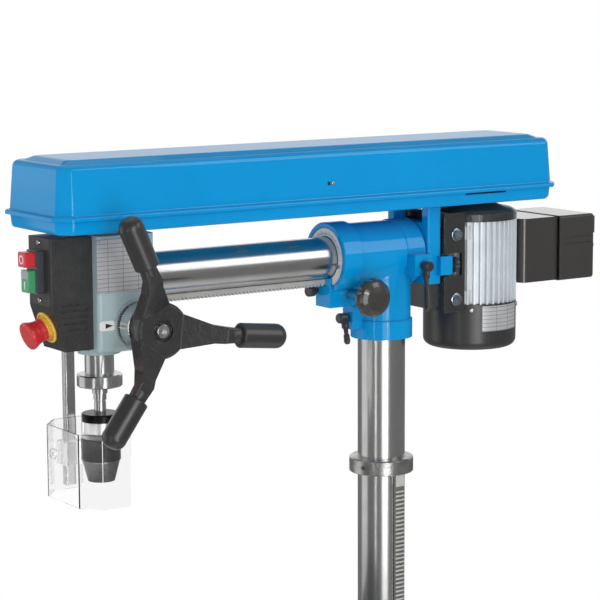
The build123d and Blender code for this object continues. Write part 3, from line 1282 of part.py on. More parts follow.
keep(cover_tray, "cover_tray")

# Cover lid: rim, drafted walls, shoulder and raised top
with BuildPart() as cover_lid:
    rim_plane = Plane.XY.offset(level(RIM_LEVEL))
    wall_plane = Plane.XY.offset(level(RIM_LEVEL) + RIM)
    LID_X = COVER_X - WALL_INSET
    front, back = COVER_FRONT + WALL_INSET, COVER_BACK - WALL_INSET
    wall_height = LID_SHOULDER - RIM_LEVEL - RIM
    lean_in = wall_height * tan(radians(LID_DRAFT))
    extrude(cover_outline(rim_plane, COVER_X, COVER_FRONT, COVER_BACK, CORNER_CUT), amount=RIM)
    walls = cover_outline(wall_plane, LID_X, front, back, CORNER_CUT - 3.5)
    extrude(walls, amount=wall_height, taper=LID_DRAFT)
    rim_top = level(RIM_LEVEL) + RIM
    fillet(cover_lid.edges().filter_by_position(Axis.Z, rim_top - 0.1, rim_top + 0.1), radius=RIM_ROUND)
    fillet(cover_lid.edges().group_by(Axis.Z)[-1], radius=SHOULDER_ROUND)
    raised = []
    hollow = []
    for height, inset, cut in ((LID_SHOULDER, TOP_INSET, 10), (LID_TOP, TOP_INSET + TOP_RUN, 8)):
        inset += lean_in
        at_height = Plane.XY.offset(level(height))
        raised.append(cover_outline(at_height, LID_X - inset, front + inset, back - inset, cut))
        inset += SHEET
        below = Plane.XY.offset(level(height) - SHEET)
        hollow.append(cover_outline(below, LID_X - inset, front + inset, back - inset, cut))
    loft(raised, ruled=True)
    fillet(cover_lid.edges().group_by(Axis.Z)[-1], radius=TOP_ROUND)
    inner = cover_outline(rim_plane, LID_X - SHEET, front + SHEET, back - SHEET, CORNER_CUT - 3.5)
    extrude(inner, amount=RIM + wall_height - SHEET, taper=LID_DRAFT, mode=Mode.SUBTRACT)
    loft(hollow, ruled=True, mode=Mode.SUBTRACT)
    for hinge_y in HINGE_SPOTS:
        for end in (-1, 1):
            near = hinge_y + end * (HINGE_LEAF / 2 + SLIDING)
            leaf_y = sorted((near, near + end * HINGE_LEAF * 0.6))
            rod((HINGE_X, leaf_y[0], level(RIM_LEVEL)), Y, HINGE_R, leaf_y[1] - leaf_y[0])
            block((HINGE_X, -COVER_X + 1), leaf_y, (level(RIM_LEVEL), level(RIM_LEVEL + HINGE_R)))
            bore = HINGE_PIN_R + RUNNING
            rod((HINGE_X, leaf_y[0] - 1, level(RIM_LEVEL)), Y, bore, leaf_y[1] - leaf_y[0] + 2, Mode.SUBTRACT)
keep(cover_lid, "cover_lid")

# Hinge pins of the lid
with BuildPart() as lid_hinge_pins:
    for hinge_y in HINGE_SPOTS:
        pin_half = HINGE_LEAF * 1.1 + SLIDING
        rod((HINGE_X, hinge_y - pin_half, level(RIM_LEVEL)), Y, HINGE_PIN_R, 2 * pin_half)
keep(lid_hinge_pins, "lid_hinge_pins")


def pulley_outline(radii):
    """Half section of a stepped pulley, from its lower face up, as (height, radius) points."""
    mouth = GROOVE_HALF + PULLEY_RIM * tan(radians(GROOVE_FLANK))
    pinch = (GROOVE_DEEP - PULLEY_RIM) * tan(radians(GROOVE_FLANK))
    points = []
    for step, radius in enumerate(radii):
        low = PULLEY_LEVEL + step * PULLEY_STEP
        middle = low + PULLEY_STEP / 2
        rim, floor_r = radius + PULLEY_RIM, radius + PULLEY_RIM - GROOVE_DEEP
        points += [(low, rim), (middle - mouth, rim), (middle - GROOVE_HALF + pinch, floor_r)]
        points += [(middle + GROOVE_HALF - pinch, floor_r), (middle + mouth, rim), (low + PULLEY_STEP, rim)]
    return points


# Spindle pulley: five steps, smallest at the top, on a sleeve that runs in the head
with BuildPart() as spindle_pulley:
    bottom = PULLEY_BEARING_LEVELS[0] - 2
    turned(
        (0, SPINDLE_Y, RAM_AXIS_Z),
        Z,
        [(bottom, SPLINE_R + RUNNING), (bottom, SLEEVE_BORE_R), (PULLEY_LEVEL, SLEEVE_BORE_R)]
        + pulley_outline(STEP_RADII[::-1])
        + [(PULLEY_TOP, SPLINE_R + RUNNING)],
    )
keep(spindle_pulley, "spindle_pulley")

# Ball bearings under the spindle pulley
with BuildPart() as pulley_bearings:
    for seat in PULLEY_BEARING_LEVELS:
        tube((0, SPINDLE_Y, level(seat)), Z, PULLEY_BEARING_R, SLEEVE_BORE_R + SEAT, PULLEY_BEARING)
keep(pulley_bearings, "pulley_bearings")

# Motor pulley: the same steps the other way up
with BuildPart() as motor_pulley:
    turned(
        (0, MOTOR_Y, RAM_AXIS_Z),
        Z,
        [(PULLEY_LEVEL, MOTOR_SHAFT_R + SEAT)]
        + pulley_outline(STEP_RADII)
        + [(PULLEY_TOP, MOTOR_SHAFT_R + SEAT)],
    )
keep(motor_pulley, "motor_pulley")

# Drive belt: a wedge-section loop on the middle steps
with BuildPart() as drive_belt:
    belt_top = BELT_RADIUS + BELT_THICK / 2
    belt_low = BELT_RADIUS - BELT_THICK / 2
    flank = BELT_THICK * tan(radians(GROOVE_FLANK))
    section = [
        (belt_top, BELT_LEVEL - BELT_HALF),
        (belt_low, BELT_LEVEL - BELT_HALF + flank),
        (belt_low, BELT_LEVEL + BELT_HALF - flank),
        (belt_top, BELT_LEVEL + BELT_HALF),
    ]
    for end_y, sweep_from in ((SPINDLE_Y, 180), (MOTOR_Y, 0)):
        outwards = X.rotate(Axis.Z, sweep_from)
        with BuildSketch(Plane((0, end_y, RAM_AXIS_Z), x_dir=outwards, z_dir=outwards.cross(Z))) as turn:
            with BuildLine():
                Polyline(*section, close=True)
            make_face()
        revolve(turn.sketch, axis=Axis((0, end_y, RAM_AXIS_Z), (0, 0, 1)), revolution_arc=180)
    for side in (1, -1):
        run_plane = Plane((0, SPINDLE_Y, RAM_AXIS_Z), x_dir=X * side, z_dir=-Y * side)
        prism(run_plane, section, -side * (MOTOR_Y - SPINDLE_Y))
keep(drive_belt, "drive_belt")

# Rear bracket: clamped on the ram's end, two uprights carry the cover, lugs guide the motor mount
with BuildPart() as rear_bracket:
    bracket_y = (BRACKET_FRONT, BRACKET_BACK)
    block((-BRACKET_X, BRACKET_X), bracket_y, (level(BRACKET_FOOT), level(TRAY_FLOOR)))
    window_z = (level(CLAMP_RING_R), level(TRAY_FLOOR) + 1)
    block((-UPRIGHT_X, UPRIGHT_X), (BRACKET_FRONT - 1, BRACKET_BACK + 1), window_z, Mode.SUBTRACT)
    lug_z = (level(NOTCH_BOTTOM + 3), level(NOTCH_TOP - 3))
    for side in (-1, 1):
        lug_x = sorted((side * (BRACKET_X - 14), side * (BRACKET_X + MOUNT_PLATE + 3)))
        block(lug_x, (BRACKET_BACK - 6, BRACKET_BACK + 16), lug_z)
    fillet(rear_bracket.edges().filter_by(Axis.Z).group_by(Axis.Y)[0], radius=3)
    rod((0, BRACKET_FRONT - 1, RAM_AXIS_Z), Y, RAM_R + SEAT, 40, Mode.SUBTRACT)
    for rod_x in (-BRACKET_X + 9, BRACKET_X - 9):
        for rod_z in GUIDE_ROD_LEVELS:
            rod((rod_x, BRACKET_FRONT + 3, level(rod_z)), Y, GUIDE_ROD_R + RUNNING, 40, Mode.SUBTRACT)
    knob_z = level((NOTCH_TOP + NOTCH_BOTTOM) / 2)
    TENSION_X = BRACKET_X + MOUNT_PLATE / 2
    rod((TENSION_X, BRACKET_BACK, knob_z), Y, LEVER_STUD_R + SLIDING, 40, Mode.SUBTRACT)
keep(rear_bracket, "rear_bracket")

# Motor mount: two notched side plates, cross webs and guide rods that slide in the rear bracket
with BuildPart() as motor_mount:
    plate_plane = Plane((0, 0, RAM_AXIS_Z), x_dir=Y, z_dir=X)
    plate_outline = [
        (MOUNT_FRONT, MOUNT_BOTTOM),
        (MOUNT_BACK, MOUNT_BOTTOM),
        (MOUNT_BACK, MOUNT_TOP),
        (MOUNT_FRONT, MOUNT_TOP),
        (MOUNT_FRONT, NOTCH_TOP),
        (NOTCH_BACK, NOTCH_TOP),
        (NOTCH_BACK, NOTCH_BOTTOM),
        (MOUNT_FRONT, NOTCH_BOTTOM),
    ]
    plate_in = BRACKET_X + SLIDING
    for side in (1, -1):
        prism(plate_plane.offset(side * plate_in), plate_outline, side * MOUNT_PLATE)
    web_y = (WEB_FRONT, WEB_FRONT + WEB_THICK)
    web_x = (-plate_in - 1, plate_in + 1)
    block(web_x, web_y, (level(NOTCH_TOP + 20), level(MOUNT_TOP)))
    block(web_x, web_y, (level(MOUNT_BOTTOM), level(NOTCH_BOTTOM)))
    for rod_x in (-BRACKET_X + 9, BRACKET_X - 9):
        for rod_z in GUIDE_ROD_LEVELS:
            start = (rod_x, BRACKET_FRONT + 3 + TENSION_TRAVEL + SLIDING, level(rod_z))
            rod(start, Y, GUIDE_ROD_R, WEB_FRONT + 2 - start[1])
    for bolt_level in BOLT_LEVELS:
        rod((-90, BOLT_Y, level(bolt_level)), X, BOLT_R + SEAT, 180, Mode.SUBTRACT)
keep(motor_mount, "motor_mount")

# Flanged bolts that fix the motor's ears between the mount's plates
EAR_THICK = 12.0
with BuildPart() as mount_bolts:
    for side in (1, -1):
        for bolt_level in BOLT_LEVELS:
            seat_x = side * (plate_in + MOUNT_PLATE)
            turned(
                (seat_x, BOLT_Y, level(bolt_level)),
                X * side,
                [
                    (-MOUNT_PLATE - EAR_THICK, 0),
                    (-MOUNT_PLATE - EAR_THICK, BOLT_R),
                    (0, BOLT_R),
                    (0, BOLT_HEAD_R),
                    (1.5, BOLT_HEAD_R),
                    (2, BOLT_HEAD_R - 1),
                    (2, 0),
                ],
            )
            head_at = (seat_x + side * 2, BOLT_Y, level(bolt_level))
            with BuildSketch(Plane(head_at, x_dir=Y, z_dir=X * side)) as hexagon:
                RegularPolygon(BOLT_HEAD_R - 1.5, 6)
            extrude(hexagon.sketch, amount=BOLT_HEAD - 2)
keep(mount_bolts, "mount_bolts")

# Knob that locks the motor mount's slide
with BuildPart() as tension_knob:
    stem_y = BRACKET_BACK + 2
    lug_end = BRACKET_BACK + 16
    rod((TENSION_X, stem_y, knob_z), Y, LEVER_STUD_R, lug_end - stem_y + 4)
    outline = [(0, 0), (0, 6), (2, 6), (3, 11), (5, 12), (9, 12), (11, 10), (12, 0)]
    turned((TENSION_X, lug_end + SLIDING, knob_z), Y, outline)
    with BuildSketch(Plane((TENSION_X, lug_end + SLIDING, knob_z), x_dir=X, z_dir=Y)) as scallops:
        with PolarLocations(14.5, 5):
            Circle(4.5)
    extrude(scallops.sketch, amount=16, mode=Mode.SUBTRACT)
keep(tension_knob, "tension_knob")

# Motor housing: a finned casting with ears for the mount
with BuildPart() as motor_housing:
    height = MOTOR_TOP - MOTOR_BOTTOM
    rod((0, MOTOR_Y, level(MOTOR_BOTTOM)), Z, FIN_ROOT_R, height)
    with BuildSketch(Plane((0, MOTOR_Y, level(MOTOR_BOTTOM)))) as fin_plan:
        with PolarLocations((MOTOR_R + FIN_ROOT_R) / 2 - 2, FINS):
            Rectangle(MOTOR_R - FIN_ROOT_R + 4, FIN_THICK)
    extrude(fin_plan.sketch, amount=height)
    ear_x = plate_in - SEAT
    for side in (1, -1):
        for bolt_level in BOLT_LEVELS:
            ear_span = sorted((side * ear_x, side * (ear_x - EAR_THICK)))
            ear_y = (BOLT_Y - 9.5, MOTOR_Y - 30)
            block(ear_span, ear_y, (level(bolt_level - 10), level(bolt_level + 10)))
    rod((0, MOTOR_Y, level(MOTOR_BOTTOM)), Z, MOTOR_BORE_R, height, Mode.SUBTRACT)
    for bolt_level in BOLT_LEVELS:
        rod((-90, BOLT_Y, level(bolt_level)), X, BOLT_R + SEAT, 180, Mode.SUBTRACT)
    saddle_z = (level(BOX_BOTTOM), level(BOX_TOP))
    block((-BOX_NECK_X - 1, BOX_NECK_X + 1), (BOX_FRONT - SLIDING, BOX_BACK), saddle_z, Mode.SUBTRACT)
    rod((0, MOTOR_Y, level(MOTOR_BOTTOM)), Z, MOTOR_BORE_R, height, Mode.SUBTRACT)
keep(motor_housing, "motor_housing")

# Motor end shield on top, with the shaft hole
with BuildPart() as motor_end_shield:
    turned(
        (0, MOTOR_Y, level(MOTOR_TOP)),
        Z,
        [
            (-4, MOTOR_SHAFT_R + RUNNING),
            (-4, MOTOR_BORE_R - SEAT),
            (0, MOTOR_BORE_R - SEAT),
            (0, MOTOR_R),
            (SHIELD - 6, MOTOR_R),
            (SHIELD - 1, MOTOR_R - 8),
            (SHIELD + 1, MOTOR_R - 20),
            (SHIELD + SHIELD_BOSS, SHIELD_BOSS_R),
            (SHIELD + SHIELD_BOSS, MOTOR_SHAFT_R + RUNNING),
        ],
    )
keep(motor_end_shield, "motor_end_shield")

# Fan cover: a cup under the motor with vent slots in its floor
FAN_BOTTOM = MOTOR_BOTTOM - FAN_COVER
with BuildPart() as fan_cover:
    rod((0, MOTOR_Y, level(FAN_BOTTOM)), Z, MOTOR_R, FAN_COVER)
    fillet(fan_cover.edges().group_by(Axis.Z)[0], radius=12)
    cup_r = MOTOR_R - FAN_COVER_WALL
    floor_z = level(FAN_BOTTOM) + FAN_COVER_WALL
    rod((0, MOTOR_Y, floor_z), Z, cup_r - 10, FAN_COVER, Mode.SUBTRACT)
    rod((0, MOTOR_Y, floor_z + 10), Z, cup_r, FAN_COVER, Mode.SUBTRACT)
    with BuildSketch(Plane((0, MOTOR_Y, level(FAN_BOTTOM)))) as vents:
        with PolarLocations(35, 16):
            SlotOverall(30, 5)
    extrude(vents.sketch, amount=FAN_COVER_WALL, mode=Mode.SUBTRACT)
keep(fan_cover, "fan_cover")

# Motor rotor: shaft and core, with the cooling fan as a second solid on the shaft
with BuildPart() as motor_rotor:
    turned(
        (0, MOTOR_Y, RAM_AXIS_Z),
        Z,
        [
            (FAN_BOTTOM + 16, 0),
            (FAN_BOTTOM + 16, MOTOR_SHAFT_R),
            (MOTOR_BOTTOM + 10, MOTOR_SHAFT_R),
            (MOTOR_BOTTOM + 10, MOTOR_BORE_R - 4),
            (MOTOR_TOP - 24, MOTOR_BORE_R - 4),
            (MOTOR_TOP - 24, MOTOR_SHAFT_R),
            (PULLEY_TOP, MOTOR_SHAFT_R),
            (PULLEY_TOP, 0),
        ],
    )
    tube((0, MOTOR_Y, level(FAN_BOTTOM + 18)), Z, 20, MOTOR_SHAFT_R + SEAT, 26)
    tube((0, MOTOR_Y, level(FAN_BOTTOM + 40)), Z, 56, 18, 4)
    with BuildSketch(Plane((0, MOTOR_Y, level(FAN_BOTTOM + 18)))) as blades:
        with PolarLocations(37, 8):
            Rectangle(38, 3)
    extrude(blades.sketch, amount=24)
keep(motor_rotor, "motor_rotor")

# Terminal box: a hollow neck on the motor's rear and a wider lid
with BuildPart() as terminal_box:
    box_z = (level(BOX_BOTTOM), level(BOX_TOP))
    block((-BOX_NECK_X, BOX_NECK_X), (BOX_FRONT, BOX_MIDDLE), box_z)
    fillet(terminal_box.edges().filter_by(Axis.Z).group_by(Axis.Y)[0], radius=12)
    hollow_z = (box_z[0] + BOX_WALL, box_z[1] - BOX_WALL)
    hollow_x = BOX_NECK_X - BOX_WALL
    block((-hollow_x, hollow_x), (MOTOR_Y + MOTOR_R + BOX_WALL, BOX_MIDDLE + 1), hollow_z, Mode.SUBTRACT)
    rod((0, MOTOR_Y, level(MOTOR_BOTTOM)), Z, MOTOR_R + SEAT, 200, Mode.SUBTRACT)
keep(terminal_box, "terminal_box")
with BuildPart() as terminal_box_lid:
    lid_y = (BOX_MIDDLE + SEAT, BOX_BACK)
    block((-BOX_X, BOX_X), lid_y, (level(BOX_BOTTOM - 1), level(BOX_TOP + 1)))
    fillet(terminal_box_lid.edges().group_by(Axis.Y)[-1], radius=6)
    fillet(terminal_box_lid.edges().filter_by(Axis.Y), radius=4)
    inner_x = BOX_X - BOX_WALL
    inner_z = (level(BOX_BOTTOM - 1) + BOX_WALL, level(BOX_TOP + 1) - BOX_WALL)
    block((-inner_x, inner_x), (BOX_MIDDLE - 1, BOX_BACK - BOX_WALL), inner_z, Mode.SUBTRACT)
    block((-BOX_X + 8, BOX_X - 8), (BOX_BACK - 1, BOX_BACK + 6), (level(9), level(BOX_TOP - 4)))
    rod((BOX_X - 16, BOX_BACK - 1, level(-10)), Y, 6.5, 7)
    for groove_z in (level(6), level(-4)):
        for groove_x in ((-BOX_X - 1, -BOX_X + 1.2), (BOX_X - 1.2, BOX_X + 1)):
            block(groove_x, (BOX_MIDDLE + 10, BOX_BACK - 8), (groove_z - 1.2, groove_z + 1.2), Mode.SUBTRACT)
keep(terminal_box_lid, "terminal_box_lid")
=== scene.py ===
# %% [markdown]
# # A radial pillar drill, dressed for a picture
# The solids of this machine come from a CAD model: every casting, lever, rack and
# button is already there, in its true size and place, in metres.  What is left for
# Blender is what the eye wants: paint that has a slight ripple, steel that was ground on
# a machine, plastic with a moulded grain, and the small trim such as plates, screws and
# dial marks.  This first cell loads the frame.

# %% Load the frame
import bmesh
import bpy
from math import cos, pi, radians, sin
from mathutils import Matrix, Vector


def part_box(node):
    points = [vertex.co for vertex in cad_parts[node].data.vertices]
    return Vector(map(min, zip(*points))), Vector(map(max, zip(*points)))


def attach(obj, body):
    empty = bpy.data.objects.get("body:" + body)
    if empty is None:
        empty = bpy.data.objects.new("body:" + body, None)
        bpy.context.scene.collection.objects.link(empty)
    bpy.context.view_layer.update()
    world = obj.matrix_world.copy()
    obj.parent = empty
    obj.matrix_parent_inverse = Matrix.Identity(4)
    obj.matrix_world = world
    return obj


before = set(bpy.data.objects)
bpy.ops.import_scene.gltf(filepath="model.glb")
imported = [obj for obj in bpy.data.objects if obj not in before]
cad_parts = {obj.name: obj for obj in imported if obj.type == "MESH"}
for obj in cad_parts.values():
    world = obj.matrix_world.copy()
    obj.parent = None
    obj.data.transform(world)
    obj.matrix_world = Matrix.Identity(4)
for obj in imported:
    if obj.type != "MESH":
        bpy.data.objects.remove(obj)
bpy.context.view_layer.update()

# %% [markdown]
# ## Places that the trim needs
# The machine has one main axis: the ram, the thick steel tube that carries the head.  Most
# heights are easiest to say from that axis, so a small helper turns such a height into
# a height above the floor.  The motor's place along the ram is the other anchor.

# %% Main places, in metres
RAM_Z = 1.450
MOTOR_Y = 0.165
MM = 0.001


def at_level(height_mm):
    """A height in millimetres from the ram's axis, as metres above the floor."""
    return RAM_Z + height_mm * MM


print("ram axis", RAM_Z, "motor", MOTOR_Y)

# %% [markdown]
# ## The camera
# The picture was taken from the operator's right, a little above the ram, with a long
# lens: lines that run away from us hardly converge.  A camera in Blender looks along its own
# -Z axis, so we ask for the rotation that points -Z at the target, and then add the tiny roll
# that the picture shows.  The sensor is square here because the image is square.

# %% Camera at the photograph's view
CAMERA_AT = Vector((2.56742, -1.88396, 1.85420))
CAMERA_AIM = Vector((0.0, -0.14455, 1.39207))
CAMERA_ROLL = radians(-0.249)
camera_data = bpy.data.cameras.new("photo_camera")
camera_data.sensor_width = 36.0
camera_data.lens = 131.30
camera = bpy.data.objects.new("photo_camera", camera_data)
bpy.context.collection.objects.link(camera)
look = (CAMERA_AIM - CAMERA_AT).to_track_quat("-Z", "Y")
turn = look.to_matrix().to_4x4() @ Matrix.Rotation(CAMERA_ROLL, 4, "Z")
camera.matrix_world = Matrix.Translation(CAMERA_AT) @ turn
bpy.context.scene.camera = camera
bpy.context.scene.view_settings.view_transform = "Standard"
print("camera distance", round((CAMERA_AIM - CAMERA_AT).length, 3))

# %% [markdown]
# ## Nodes without the bookkeeping
# A material is a small graph.  Making each node takes three or four lines by hand, so
# this helper makes a node, sets its values and joins its inputs in one call.  A value that
# is a socket gets linked; anything else is written into the input.

# %% Helpers that make shader nodes
def fill(tree, socket, value):
    """Link a socket to an input, or write a plain value into it."""
    if isinstance(value, bpy.types.NodeSocket):
        tree.links.new(value, socket)
    else:
        socket.default_value = value


def add_node(tree, kind, inputs=None, **settings):
    """Make a node, set its properties and fill or link its inputs."""
    made = tree.nodes.new(kind)
    for name, value in settings.items():
        setattr(made, name, value)
    for name, value in (inputs or {}).items():
        fill(tree, made.inputs[name], value)
    return made


def use_group(tree, group, inputs):
    """Put a node group in a material, fill its inputs and return its outputs."""
    return add_node(tree, "ShaderNodeGroup", inputs, node_tree=group).outputs


def new_group(name, takes, gives):
    """Start a shader node group with named sockets; returns the tree and its two ends."""
    tree = bpy.data.node_groups.new(name, "ShaderNodeTree")
    for label, kind, value in takes:
        socket = tree.interface.new_socket(label, in_out="INPUT", socket_type=kind)
        socket.default_value = value
    for label, kind in gives:
        tree.interface.new_socket(label, in_out="OUTPUT", socket_type=kind)
    return tree, tree.nodes.new("NodeGroupInput").outputs, tree.nodes.new("NodeGroupOutput").inputs


FLOAT, COLOUR, VECTOR = "NodeSocketFloat", "NodeSocketColor", "NodeSocketVector"
print("node helpers ready")

# %% [markdown]
# ## The steps that every effect is made of
# Five small steps come back again and again: where a point is on its piece, noise, one step
# of arithmetic, a stretched range, and a mix of two colours.  Object coordinates keep a
# pattern fixed to its piece when the piece moves.

# %% Helpers for effects
def own_place(tree):
    """A point's place in its piece's own space."""
    return add_node(tree, "ShaderNodeTexCoord").outputs["Object"]


def split_place(tree):
    """The same place as three separate numbers."""
    return add_node(tree, "ShaderNodeSeparateXYZ", {0: own_place(tree)}).outputs


def noise(tree, place, scale, detail, **more):
    """Soft noise at the given size."""
    inputs = {"Vector": place, "Scale": scale, "Detail": detail, **more}
    return add_node(tree, "ShaderNodeTexNoise", inputs).outputs["Fac"]


def calc(tree, operation, *values):
    """One step of arithmetic."""
    return add_node(tree, "ShaderNodeMath", dict(enumerate(values)), operation=operation).outputs[0]


def remap(tree, value, low=0.0, high=1.0, to_low=0.0, to_high=1.0, **settings):
    """Stretch one range of values to another and cut off what lies outside."""
    inputs = {"Value": value, "From Min": low, "From Max": high, "To Min": to_low, "To Max": to_high}
    return add_node(tree, "ShaderNodeMapRange", inputs, **settings).outputs["Result"]


def blend_colour(tree, factor, first, second):
    """Mix two colours by a mask; returns the mixed colour."""
    mix = add_node(tree, "ShaderNodeMix", {0: factor, 6: first, 7: second}, data_type="RGBA")
    return mix.outputs[2]


def paint_over(tree, shader, mask, tone):
    """Lay a tone over a finish's colour where a mask is 1."""
    under = shader.inputs["Base Color"].links[0].from_socket
    tree.links.new(blend_colour(tree, mask, under, tone), shader.inputs["Base Color"])


print("effect helpers ready")

# %% [markdown]
# ## Effect 1: colour that wanders
# No painted or cast surface has exactly one colour.  Soft noise at the size of a hand
# mixes two close tones, and the same noise is handed on as a mask, so that the gloss can wander
# with it.

# %% Group: wandering tone
tone_group, takes, gives = new_group(
    "Wandering tone",
    [
        ("Tone", COLOUR, (0.5, 0.5, 0.5, 1)),
        ("Other tone", COLOUR, (0.4, 0.4, 0.4, 1)),
        ("Scale", FLOAT, 12.0),
    ],
    [("Colour", COLOUR), ("Mask", FLOAT)],
)
broad = noise(tone_group, own_place(tone_group), takes["Scale"], 5.0, Roughness=0.6)
spread = remap(tone_group, broad, 0.3, 0.7)
mixed = blend_colour(tone_group, spread, takes["Tone"], takes["Other tone"])
tone_group.links.new(mixed, gives["Colour"])
tone_group.links.new(spread, gives["Mask"])
print("group", tone_group.name)

# %% [markdown]
# ## Effect 2: grain
# Enamel sprayed on a casting dries with a ripple called orange peel, sand leaves
# pits in cast iron, and a mould gives plastic a fine leather-like grain.  All three are noise
# at different sizes.  The group gives a height for a Bump node and a mask for the gloss.

# %% Group: grain
grain_group, takes, gives = new_group(
    "Surface grain",
    [("Scale", FLOAT, 600.0), ("Pits", FLOAT, 0.0)],
    [("Height", FLOAT), ("Mask", FLOAT)],
)
place = own_place(grain_group)
ripple = noise(grain_group, place, takes["Scale"], 3.0)
cells = add_node(grain_group, "ShaderNodeTexVoronoi", {"Vector": place, "Scale": takes["Scale"]})
pitted = calc(grain_group, "MULTIPLY", cells.outputs["Distance"], takes["Pits"])
grain_group.links.new(calc(grain_group, "ADD", ripple, pitted), gives["Height"])
grain_group.links.new(ripple, gives["Mask"])
print("group", grain_group.name)

# %% [markdown]
# ## Effect 3: machining lines
# A lathe or a grinding wheel leaves lines that all run one way.  Noise whose space is
# squeezed along one axis turns into such lines: a large number in `Stretch` makes the tone
# change fast along that axis, a small one keeps it still.

# %% Group: machining lines
lines_group, takes, gives = new_group(
    "Machining lines",
    [("Stretch", VECTOR, (20.0, 20.0, 3000.0))],
    [("Height", FLOAT), ("Mask", FLOAT)],
)
stretch = {0: own_place(lines_group), 1: takes["Stretch"]}
squeezed = add_node(lines_group, "ShaderNodeVectorMath", stretch, operation="MULTIPLY")
strokes = noise(lines_group, squeezed.outputs[0], 1.0, 4.0)
lines_group.links.new(strokes, gives["Height"])
lines_group.links.new(remap(lines_group, strokes, 0.25, 0.75), gives["Mask"])
print("group", lines_group.name)

# %% [markdown]
# ## Effect 4: edges that catch the light
# A knife-sharp edge looks drawn, not made.  The Bevel node bends the normal near an edge
# as if it had a tiny radius, and where that bent normal leaves the true one we know an edge is
# near.  Broken up with noise this becomes the wear mask: paint thins first on its edges.

# %% Group: soft and worn edges
edge_group, takes, gives = new_group(
    "Soft edge",
    [("Radius", FLOAT, 0.0008), ("Wear", FLOAT, 0.5)],
    [("Normal", VECTOR), ("Mask", FLOAT)],
)
EDGE_FAINT, EDGE_FULL = 0.985, 0.86
CHIP_SCALE, CHIP_FAINT, CHIP_FULL = 160.0, 0.5, 0.62
bent = add_node(edge_group, "ShaderNodeBevel", {"Radius": takes["Radius"]}, samples=4).outputs["Normal"]
true_normal = add_node(edge_group, "ShaderNodeNewGeometry").outputs["Normal"]
agree = add_node(edge_group, "ShaderNodeVectorMath", {0: bent, 1: true_normal}, operation="DOT_PRODUCT")
near_edge = remap(edge_group, agree.outputs["Value"], EDGE_FAINT, EDGE_FULL)
chips = noise(edge_group, own_place(edge_group), CHIP_SCALE, 6.0)
worn = calc(edge_group, "MULTIPLY", near_edge, remap(edge_group, chips, CHIP_FAINT, CHIP_FULL))
edge_group.links.new(bent, gives["Normal"])
edge_group.links.new(calc(edge_group, "MULTIPLY", worn, takes["Wear"]), gives["Mask"])
print("group", edge_group.name)

# %% [markdown]
# ## Effect 5: workshop dust
# A machine that has stood for a while carries a thin pale film where it faces up.  The
# normal's upward part times a patchy noise gives that film.  It stays faint: this machine is new.

# %% Group: dust on top
dust_group, takes, gives = new_group("Dust film", [("Amount", FLOAT, 0.1)], [("Mask", FLOAT)])
DUST_FAINT, DUST_FULL, DUST_SCALE = 0.4, 0.95, 34.0
normal = add_node(dust_group, "ShaderNodeNewGeometry").outputs["Normal"]
facing = add_node(dust_group, "ShaderNodeSeparateXYZ", {0: normal}).outputs
upward = remap(dust_group, facing["Z"], DUST_FAINT, DUST_FULL)
patches = noise(dust_group, own_place(dust_group), DUST_SCALE, 7.0)
film = calc(dust_group, "MULTIPLY", upward, patches)
dust_group.links.new(calc(dust_group, "MULTIPLY", film, takes["Amount"]), gives["Mask"])
print("group", dust_group.name)

# %% [markdown]
# ## One recipe for the finishes
# Every finish on the machine is the same dish with other amounts: a wandering tone, worn
# edges, a film of dust, a gloss that follows the grain, and a bump from grain or machining lines.
# The Principled shader stays in the material itself, and anything that is the same all
# over, such as the metallic value or the clear coat, is written on its own socket.

# %% The recipe
DUST_TONE = (0.55, 0.54, 0.51, 1)
BUMP_DEPTH = 0.001


def finish(
    name, tone, other, rough, rough_span=0.08, metallic=0.0, coat=0.0, coat_rough=0.08, mirror=0.5,
    scale=9.0, grain=700.0, pits=0.0, bump=0.05, lines=None, edge=0.0008, wear=0.0,
    bare=(0.45, 0.45, 0.45, 1), dust=0.0,
):
    """Build one finish from the shared effects; returns the material, its tree and its shader."""
    material = bpy.data.materials.new(name)
    material.use_nodes = True
    tree = material.node_tree
    shader = tree.nodes["Principled BSDF"]
    shader.inputs["Metallic"].default_value = metallic
    shader.inputs["Coat Weight"].default_value = coat
    shader.inputs["Coat Roughness"].default_value = coat_rough
    shader.inputs["Specular IOR Level"].default_value = mirror
    toned = use_group(tree, tone_group, {"Tone": tone, "Other tone": other, "Scale": scale})
    edges = use_group(tree, edge_group, {"Radius": edge, "Wear": wear})
    tree.links.new(toned["Colour"], shader.inputs["Base Color"])
    if wear:
        paint_over(tree, shader, edges["Mask"], bare)
    if dust:
        paint_over(tree, shader, use_group(tree, dust_group, {"Amount": dust})["Mask"], DUST_TONE)
    if lines:
        texture = use_group(tree, lines_group, {"Stretch": lines})
    else:
        texture = use_group(tree, grain_group, {"Scale": grain, "Pits": pits})
    both = calc(tree, "ADD", texture["Mask"], toned["Mask"])
    gloss = remap(tree, both, 0.0, 2.0, rough - rough_span, rough + rough_span)
    heights = {"Strength": bump, "Distance": BUMP_DEPTH, "Height": texture["Height"]}
    relief = add_node(tree, "ShaderNodeBump", {**heights, "Normal": edges["Normal"]})
    tree.links.new(gloss, shader.inputs["Roughness"])
    tree.links.new(relief.outputs["Normal"], shader.inputs["Normal"])
    return material, tree, shader


print("recipe ready")

# %% [markdown]
# ## The paints
# Three enamels: a bright sky blue on the covers and castings, a grey-green on the head, and
# black on the feed hub, the levers and the motor's frame.  Each has a clear coat, because the
# gloss of enamel lies on top of its colour.

